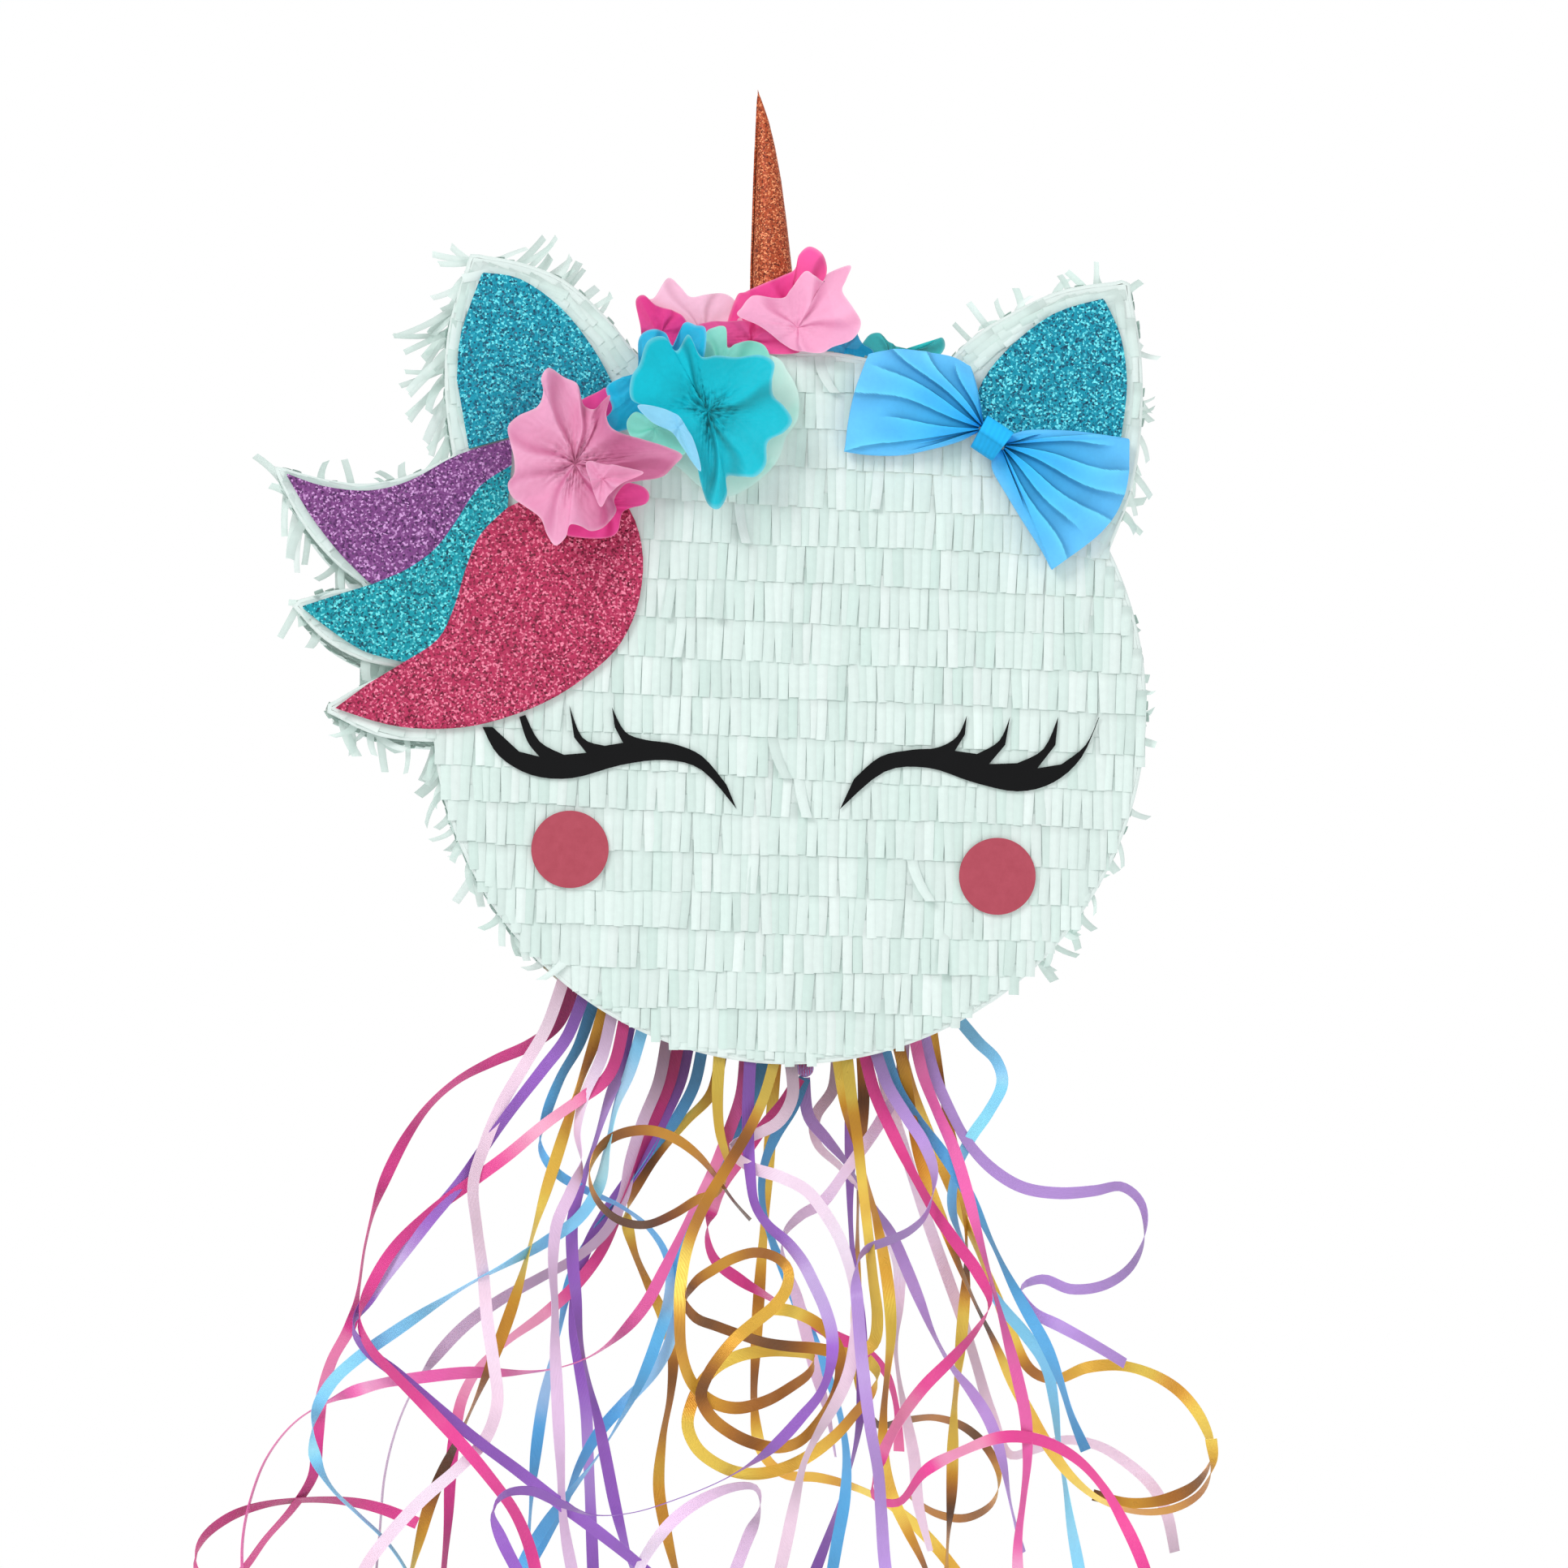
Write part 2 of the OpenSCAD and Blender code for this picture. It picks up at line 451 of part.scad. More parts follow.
        [192, -570], [200, -585], [204, -604]]],
    ["pale_ribbons", "front", -2, 0, [[1, -367], [-6, -380], [-19, -387], [-30, -393], [-20, -402],
        [-5, -407], [8, -414], [18, -427, -1], [25, -441, -4], [29, -459, -10], [29, -478, -16],
        [26, -497, -20], [20, -512, -22], [11, -528, -22], [4, -543, -20], [0, -560, -16],
        [-4, -580, -12], [-9, -604, -8]]],
    ["lilac_ribbons", "front", -3, 42, [[48, -362], [57, -377], [66, -391], [71, -407],
        [67, -424, -1], [58, -433, -3], [46, -438, -6], [35, -442, -9], [30, -451, -12],
        [30, -468, -16], [31, -488, -20], [33, -508, -22], [36, -528, -20], [40, -548, -16],
        [42, -570, -12], [44, -594, -8], [48, -618, -6]]],
    ["purple_ribbons_right", "front", -4, -20, [[-21, -370], [-21, -388], [-20, -406], [-18, -420],
        [-12, -430, -3], [-3, -438, -6], [4, -447, -9], [9, -457, -13], [14, -469, -18],
        [17, -482, -21], [16, -496, -22], [11, -509, -22], [2, -520, -22], [-8, -531, -22],
        [-19, -541, -19], [-36, -552, -12], [-56, -561, -6], [-78, -568, -2], [-98, -569],
        [-114, -563], [-127, -557, -2], [-140, -558, -4], [-146, -567, -4], [-142, -580, -4],
        [-134, -596, -4]]],
    ["mauve_ribbons", "front", 3, -88, [[-93, -348], [-101, -366], [-105, -384], [-103, -400],
        [-108, -414], [-115, -430], [-117, -450], [-116, -470], [-116, -490], [-115, -510],
        [-114, -530], [-113, -550], [-112, -570], [-109, -590], [-104, -610], [-96, -622],
        [-86, -622], [-79, -608], [-72, -592], [-60, -576], [-46, -565], [-30, -558], [-18, -558],
        [-16, -568], [-22, -583], [-29, -602]]],
    ["mauve_ribbons", "front", 19, 57, [[55, -364], [49, -374], [43, -384], [36, -394], [28, -405],
        [17, -420], [6, -427], [-2, -437], [-2, -450], [4, -466], [9, -485], [14, -505], [20, -525],
        [24, -547]]],
    ["pull_ribbon_magenta", "pull", -1, 7, [[-1, -372], [-12, -385], [-22, -400], [-32, -416],
        [-39, -433], [-36, -449], [-23, -460], [-8, -469], [8, -479], [24, -488], [40, -496],
        [51, -508], [56, -526], [57, -546]]],
    ["pull_ribbon_blue", "pull", 0, 10, [[4, -374], [-5, -389], [-11, -406], [-11, -424],
        [-6, -442], [1, -459], [8, -476], [15, -493], [22, -510], [28, -529], [31, -549],
        [30, -570], [26, -592], [22, -616]]],
    ["pull_ribbon_lilac", "pull", 1, 10, [[12, -378], [21, -390], [31, -402], [39, -415],
        [47, -427], [54, -438], [61, -454], [68, -471], [75, -488], [84, -504], [95, -518], [104, -533],
        [110, -552], [114, -574], [120, -598]]]
];

// Depths of the ribbon lanes, by rank from front to back: at the tapes, and once spread out below
front_tape_y = -41;
front_tape_step = 0.5;
front_spread_y = -58;
front_spread_step = 2;
back_tape_y = 31;
back_tape_step = 0.75;
back_spread_y = 16;
back_spread_step = 2.6;
pull_step = 4;
spread_z = -392;                    // ribbon lanes stay close down to here, below the trap door's sweep
spread_h = 90;                      // and are fully spread this much lower

// Depth of a ribbon's lane: close together at the tape, spread out below
function spread(z) = let (s = max(0, min(1, (spread_z - z) / spread_h))) s * s * (3 - 2 * s);
function lane(row, rank, z) = let (s = spread(z))
    row == "front" ? (1 - s) * (front_tape_y + front_tape_step * rank)
        + s * (front_spread_y + front_spread_step * rank)
    : row == "back" ? (1 - s) * (back_tape_y + back_tape_step * rank)
        + s * (back_spread_y + back_spread_step * rank)
    : pull_step * rank;
function head_z(x) = -head_r - sqrt(pow(tape_r + 0.05, 2) - x * x);
function root(r) = r[1] == "pull" ? [r[3], knot_z - knot_r - 0.3] : [r[3], head_z(r[3])];
function along(p, i) = i == 0
    ? let (a = p[0]) (abs(a[1] - head_z(a[0])) < 1 ? unit([a[0], a[1] + head_r]) : [0, -1])
    : let (d = p[min(i + 1, len(p) - 1)] - p[i - 1]) unit([d[0], d[1]]);

module ribbon(r) {
    p = concat([concat(root(r), [0])], [for (q = r[4]) [q[0], q[1], len(q) > 2 ? q[2] : 0]]);
    n = len(p);
    corners = [for (i = [0 : n - 1], side = [-1, 1]) let (d = along(p, i))
        [p[i][0] - side * d[1] * ribbon_w / 2, p[i][1] + side * d[0] * ribbon_w / 2, p[i][2]]];
    points = [for (c = corners, face = [-1, 1])
        [c[0], lane(r[1], r[2], c[1]) + c[2] + face * ribbon_t / 2, c[1]]];
    // Ring i holds points 4i to 4i + 3: left front, left back, right front, right back
    loop = [0, 1, 3, 2];
    sides = [for (i = [0 : n - 2], k = [0 : 3]) let (
        a = 4 * i + loop[k], b = 4 * i + loop[(k + 1) % 4]) each [[a, a + 4, b], [b, a + 4, b + 4]]];
    last = 4 * n - 4;
    polyhedron(points, concat(sides, [[0, 1, 3], [0, 3, 2],
        [last, last + 3, last + 1], [last, last + 2, last + 3]]));
}
module ribbons(name, tint) color(tint) for (r = RIBBONS) if (r[0] == name) ribbon(r);

module ribbon_tape(y) color("ivory") slab(y, y + tape_w)
    ring_part(chin_from + 2, chin_to - 3, head_r, tape_r);
module front_ribbon_tape() ribbon_tape(-43.8);
module back_ribbon_tape() ribbon_tape(30.4);
module pull_knot() color("purple") translate([knot_x, 0, knot_z]) sphere(knot_r);

front_panel();
back_panel();
crown_band();
left_ear_band();
right_ear_band();
mane_band();
left_side_band();
right_side_band();
chin_band();
trap_door();
fill_flap();
fill_flap_fringe();
fill_flap_tape();
hang_plate();
hang_eyelet();
front_ribbon_tape();
back_ribbon_tape();
pull_knot();
face_fringe();
back_fringe();
rim_fringe();
left_ear_foam();
right_ear_foam();
mane_purple_foam();
mane_aqua_foam();
mane_pink_foam();
horn();
pink_flower_front();
pink_flower_back();
aqua_flower_front();
aqua_flower_back();
crown_flower_front();
crown_flower_back();
small_aqua_flower();
bow_left_wing();
bow_right_wing();
bow_knot();
left_eyelash();
right_eyelash();
left_cheek();
right_cheek();
ribbons("pull_ribbon_magenta", "mediumvioletred");  // pull_ribbon_magenta
ribbons("pull_ribbon_blue", "steelblue");  // pull_ribbon_blue
ribbons("pull_ribbon_lilac", "plum");  // pull_ribbon_lilac
ribbons("gold_ribbons_left", "goldenrod");  // gold_ribbons_left
ribbons("gold_ribbon_coil", "goldenrod");  // gold_ribbon_coil
ribbons("gold_ribbons_middle", "goldenrod");  // gold_ribbons_middle
ribbons("gold_ribbons_right", "goldenrod");  // gold_ribbons_right
ribbons("magenta_ribbons_left", "mediumvioletred");  // magenta_ribbons_left
ribbons("magenta_ribbon_right", "mediumvioletred");  // magenta_ribbon_right
ribbons("pink_ribbons", "hotpink");  // pink_ribbons
ribbons("purple_ribbons_left", "rebeccapurple");  // purple_ribbons_left
ribbons("purple_ribbons_right", "mediumpurple");  // purple_ribbons_right
ribbons("lilac_ribbons", "mediumpurple");  // lilac_ribbons
ribbons("mauve_ribbons", "thistle");  // mauve_ribbons
ribbons("pale_ribbons", "lavenderblush");  // pale_ribbons
ribbons("blue_ribbons_left", "dodgerblue");  // blue_ribbons_left
ribbons("blue_ribbon_right", "dodgerblue");  // blue_ribbon_right
ribbons("light_blue_ribbons", "lightskyblue");  // light_blue_ribbons
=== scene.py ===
import math

import bmesh
import bpy
import numpy as np
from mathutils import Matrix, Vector


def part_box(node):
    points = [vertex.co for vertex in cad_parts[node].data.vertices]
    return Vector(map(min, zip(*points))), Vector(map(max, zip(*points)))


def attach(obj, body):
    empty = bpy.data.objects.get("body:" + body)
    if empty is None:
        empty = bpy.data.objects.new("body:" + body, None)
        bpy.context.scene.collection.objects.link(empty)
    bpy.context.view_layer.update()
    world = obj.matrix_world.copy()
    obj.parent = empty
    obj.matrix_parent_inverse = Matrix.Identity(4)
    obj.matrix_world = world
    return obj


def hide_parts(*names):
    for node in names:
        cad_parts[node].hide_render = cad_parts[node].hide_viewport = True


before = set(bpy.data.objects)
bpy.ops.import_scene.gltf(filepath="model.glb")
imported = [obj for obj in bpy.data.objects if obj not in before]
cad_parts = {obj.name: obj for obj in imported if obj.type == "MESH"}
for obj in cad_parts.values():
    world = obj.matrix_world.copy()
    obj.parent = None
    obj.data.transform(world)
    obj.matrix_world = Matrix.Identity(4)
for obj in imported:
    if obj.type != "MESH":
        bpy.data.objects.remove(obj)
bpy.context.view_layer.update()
MM = 0.001
TAU = 2 * math.pi
rng = np.random.default_rng(20)


# ---- camera, light, floor ----

SENSOR = 36.0                       # mm
HEART = (0, 0, -0.2)                # what the lights turn to


def stand(name, data, place, target):
    """Put a camera or a lamp in its place, turned towards a target."""
    o = bpy.data.objects.new(name, data)
    bpy.context.scene.collection.objects.link(o)
    o.location = Vector(place)
    o.rotation_euler = (Vector(target) - o.location).to_track_quat("-Z", "Y").to_euler()
    return o


def look_from(place, target, lens):
    data = bpy.data.cameras.new("camera")
    data.lens, data.sensor_width = lens, SENSOR
    data.clip_start, data.clip_end = 0.05, 60.0
    bpy.context.scene.camera = stand("camera", data, place, target)


def soft_light(name, place, size, watts):
    data = bpy.data.lights.new(name, "AREA")
    data.shape, data.size, data.energy = "DISK", size, watts
    stand(name, data, place, HEART)


PICTURE_WIDTH = 0.773               # metres across the picture at the face
VIEW_FROM = (-0.16, -2.36, -0.30)
VIEW_TO = (-0.0036, -0.047, -0.2136)
reach = (Vector(VIEW_TO) - Vector(VIEW_FROM)).length
look_from(VIEW_FROM, VIEW_TO, SENSOR * reach / PICTURE_WIDTH)
soft_light("key", (-1.5, -2.0, 1.5), 1.3, 36)
soft_light("fill", (1.9, -1.6, 0.1), 1.6, 10)
soft_light("back_light", (0.6, 2.4, 1.2), 1.6, 26)
bpy.context.scene.view_settings.view_transform = "Standard"


# ---- node helpers ----

def srgb(r, g, b):
    def line(c):
        c /= 255
        return c / 12.92 if c <= 0.04045 else ((c + 0.055) / 1.055) ** 2.4
    return (line(r), line(g), line(b), 1.0)


class Nodes:
    """A material's node tree, written as one call per node."""

    def __init__(self, name, **fixed):
        self.mat = bpy.data.materials.new(name)
        self.mat.use_nodes = True
        self.tree = self.mat.node_tree
        self.shader = self.tree.nodes["Principled BSDF"]
        for key, value in fixed.items():
            self.shader.inputs[key.replace("_", " ")].default_value = value

    def add(self, kind, props=(), **links):
        """A node with its settings; its inputs are given by name, or by number as i0, i1 and so on."""
        n = self.tree.nodes.new("ShaderNode" + kind)
        for key, value in dict(props).items():
            setattr(n, key, value)
        for key, value in links.items():
            where = n.inputs[int(key[1:])] if key[0] == "i" and key[1:].isdigit() else n.inputs[key]
            if isinstance(value, bpy.types.NodeSocket):
                self.tree.links.new(value, where)
            else:
                where.default_value = value
        return n

    def math(self, op, a, b=0.0):
        return self.add("Math", {"operation": op}, i0=a, i1=b).outputs[0]

    def place(self):
        return self.add("TexCoord").outputs["Object"]

    def noise(self, scale, detail=3.0, rough=0.5):
        return self.add("TexNoise", Vector=self.place(), Scale=scale, Detail=detail,
                        Roughness=rough).outputs["Fac"]

    def ramp(self, value, *stops):
        n = self.add("ValToRGB", Fac=value)
        while len(n.color_ramp.elements) < len(stops):
            n.color_ramp.elements.new(0.5)
        for e, (at, colour) in zip(n.color_ramp.elements, stops):
            e.position, e.color = at, colour
        return n.outputs["Color"]

    def grey(self, value, low, high):
        return self.ramp(value, (0.0, (low,) * 3 + (1,)), (1.0, (high,) * 3 + (1,)))

    def times(self, a, b):
        return self.add("Mix", {"data_type": "RGBA", "blend_type": "MULTIPLY"},
                        i0=1.0, i6=a, i7=b).outputs[2]

    def tint(self):
        return self.add("Attribute", {"attribute_name": "tint"}).outputs["Color"]

    def bump(self, height, distance):
        n = self.add("Bump", Height=height, Distance=distance, Strength=1.0)
        self.tree.links.new(n.outputs["Normal"], self.shader.inputs["Normal"])

    def into(self, key, value):
        self.tree.links.new(value, self.shader.inputs[key])


def tissue(name, grain=260, wrinkle=0.00025, rough=0.72, alpha=1.0):
    # Painted light: the tissue glows faintly in its own colour, standing in for light that passes through the
    # thin paper.
    m = Nodes(name, Roughness=rough, Specular_IOR_Level=0.2, Alpha=alpha, Emission_Strength=0.09)
    patches = m.grey(m.noise(22, 2.0), 0.95, 1.03)
    m.into("Base Color", m.times(m.times(m.tint(), m.grey(m.noise(grain), 0.93, 1.04)), patches))
    m.into("Emission Color", m.tint())
    m.bump(m.noise(grain * 0.6, 5.0, 0.6), wrinkle)
    return m.mat


def glitter(name, dark, mid, bright, cell=1080, tilted=0.55):
    """Foam with loose glitter: each grain has its own tilt and a random brightness from dark to nearly
    white, partly the grains' own tone and partly painted sparkle.
    """
    m = Nodes(name, Metallic=0.25, Specular_IOR_Level=0.4)
    grain = m.add("TexVoronoi", Vector=m.place(), Scale=cell)
    pick = m.add("SeparateXYZ", Vector=grain.outputs["Color"])
    patches = m.grey(m.noise(45, 4.0), 0.90, 1.08)
    # Partly painted sparkle: the bright stop is near white, a painted glint on grains that catch the light.
    colour = m.ramp(pick.outputs["X"], (0.05, dark), (0.42, mid), (0.74, mid), (0.93, bright))
    m.into("Base Color", m.times(colour, patches))
    m.into("Roughness", m.grey(pick.outputs["Y"], 0.35, 0.75))
    tilt = m.add("VectorMath", {"operation": "SUBTRACT"}, i0=grain.outputs["Color"], i1=(0.5,) * 3)
    less = m.add("VectorMath", {"operation": "SCALE"}, i0=tilt.outputs[0], Scale=tilted)
    turned = m.add("VectorMath", {"operation": "ADD"}, i0=less.outputs[0],
                   i1=m.add("NewGeometry").outputs["Normal"])
    straight = m.add("VectorMath", {"operation": "NORMALIZE"}, i0=turned.outputs[0])
    m.into("Normal", straight.outputs[0])
    return m.mat


def satin(name, metallic=0.0, rough=0.36):
    """Curling ribbon, with fine ribs along its length."""
    m = Nodes(name, Metallic=metallic, Coat_Weight=0.3, Coat_Roughness=0.22)
    across = m.add("Attribute", {"attribute_name": "across"}).outputs["Fac"]
    ribs = m.math("SINE", m.math("MULTIPLY", across, 34.0))
    m.into("Base Color", m.times(m.tint(), m.grey(m.noise(110), 0.93, 1.05)))
    m.into("Roughness", m.grey(m.noise(160), rough * 0.75, rough * 1.35))
    m.bump(ribs, 0.00006)
    return m.mat


# ---- mesh helpers ----

def make(name, verts, faces, mat, body, stands_for=(), slot=None, smooth=True, sharp=0, **attributes):
    """A piece of the visible model; sharp is the angle from which an edge is not smoothed."""
    data = bpy.data.meshes.new(name)
    data.from_pydata((np.asarray(verts, float) * MM).tolist(), [], [tuple(f) for f in faces])
    data.polygons.foreach_set("use_smooth", [smooth] * len(data.polygons))
    for key, values in attributes.items():
        values = np.asarray(values, np.float32)
        if values.ndim == 2:
            values = np.hstack([values, np.ones((len(values), 1), np.float32)])
            data.attributes.new(key, "FLOAT_COLOR", "POINT").data.foreach_set("color", values.ravel())
        else:
            data.attributes.new(key, "FLOAT", "POINT").data.foreach_set("value", values)
    data.update()
    if sharp:
        data.set_sharp_from_angle(angle=math.radians(sharp))
    data.materials.append(mat)
    o = bpy.data.objects.new(name, data)
    bpy.context.scene.collection.objects.link(o)
    if body:
        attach(o, body)
    if stands_for:
        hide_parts(*stands_for)
    return o


def grid_faces(rows, cols, start=0, loop=False):
    wrap = cols if loop else cols - 1
    return [(start + r * cols + c, start + r * cols + (c + 1) % cols,
             start + (r + 1) * cols + (c + 1) % cols, start + (r + 1) * cols + c)
            for r in range(rows - 1) for c in range(wrap)]


def shell_faces(rows, cols):
    """Faces of two grids of points, one behind the other, closed into one thin solid."""
    off = rows * cols
    rim = ([r * cols for r in range(rows)] + [off - cols + c for c in range(1, cols)]
           + [r * cols + cols - 1 for r in range(rows - 2, -1, -1)] + list(range(cols - 2, 0, -1)))
    return (grid_faces(rows, cols) + [tuple(reversed(f)) for f in grid_faces(rows, cols, off)]
            + [(a, b, b + off, a + off) for a, b in zip(rim, rim[1:] + rim[:1])])


def ease(x):
    x = np.clip(x, 0, 1)
    return x * x * (3 - 2 * x)


def unit(v):
    return v / np.maximum(np.linalg.norm(v, axis=-1, keepdims=True), 1e-9)


def soften(v, sigma):
    """Gaussian smoothing along an array's first axis; sigma in samples."""
    n = int(3 * sigma) + 1
    k = np.exp(-0.5 * (np.arange(-n, n + 1) / sigma) ** 2)
    k /= k.sum()
    p = np.pad(v, [(n, n)] + [(0, 0)] * (v.ndim - 1), mode="edge")
    return np.stack([np.convolve(p[:, i], k, "valid") for i in range(v.shape[1])], 1)


def catmull(points, step, closed=False):
    """A smooth line through the points, with samples about one step apart."""
    p = np.asarray(points, float)
    e = np.vstack([p[-1:], p, p[:2]]) if closed else np.vstack([p[:1], p, p[-1:]])
    t = np.linspace(0, 1, 12, endpoint=False)[:, None]
    fine = []
    for a, b, c, d in zip(e, e[1:], e[2:], e[3:]):
        fine.append(0.5 * (2 * b + (c - a) * t + (2 * a - 5 * b + 4 * c - d) * t ** 2
                           + (3 * b - a - 3 * c + d) * t ** 3))
    fine.append(p[:1] if closed else p[-1:])
    fine = np.vstack(fine)
    run = np.r_[0, np.cumsum(np.linalg.norm(np.diff(fine, axis=0), axis=1))]
    at = np.linspace(0, run[-1], max(int(run[-1] / step), 8) + 1)
    return np.stack([np.interp(at, run, fine[:, i]) for i in range(p.shape[1])], 1), at


# ---- curling ribbons ----

HEAD_R, TAPE_R, RIBBON_W, RIBBON_T = 175.0, 175.6, 6.0, 0.3
KNOT_R, KNOT_X = 4.5, 10.0
KNOT_Z = -HEAD_R - math.sqrt(HEAD_R ** 2 - KNOT_X ** 2) - KNOT_R - 0.4


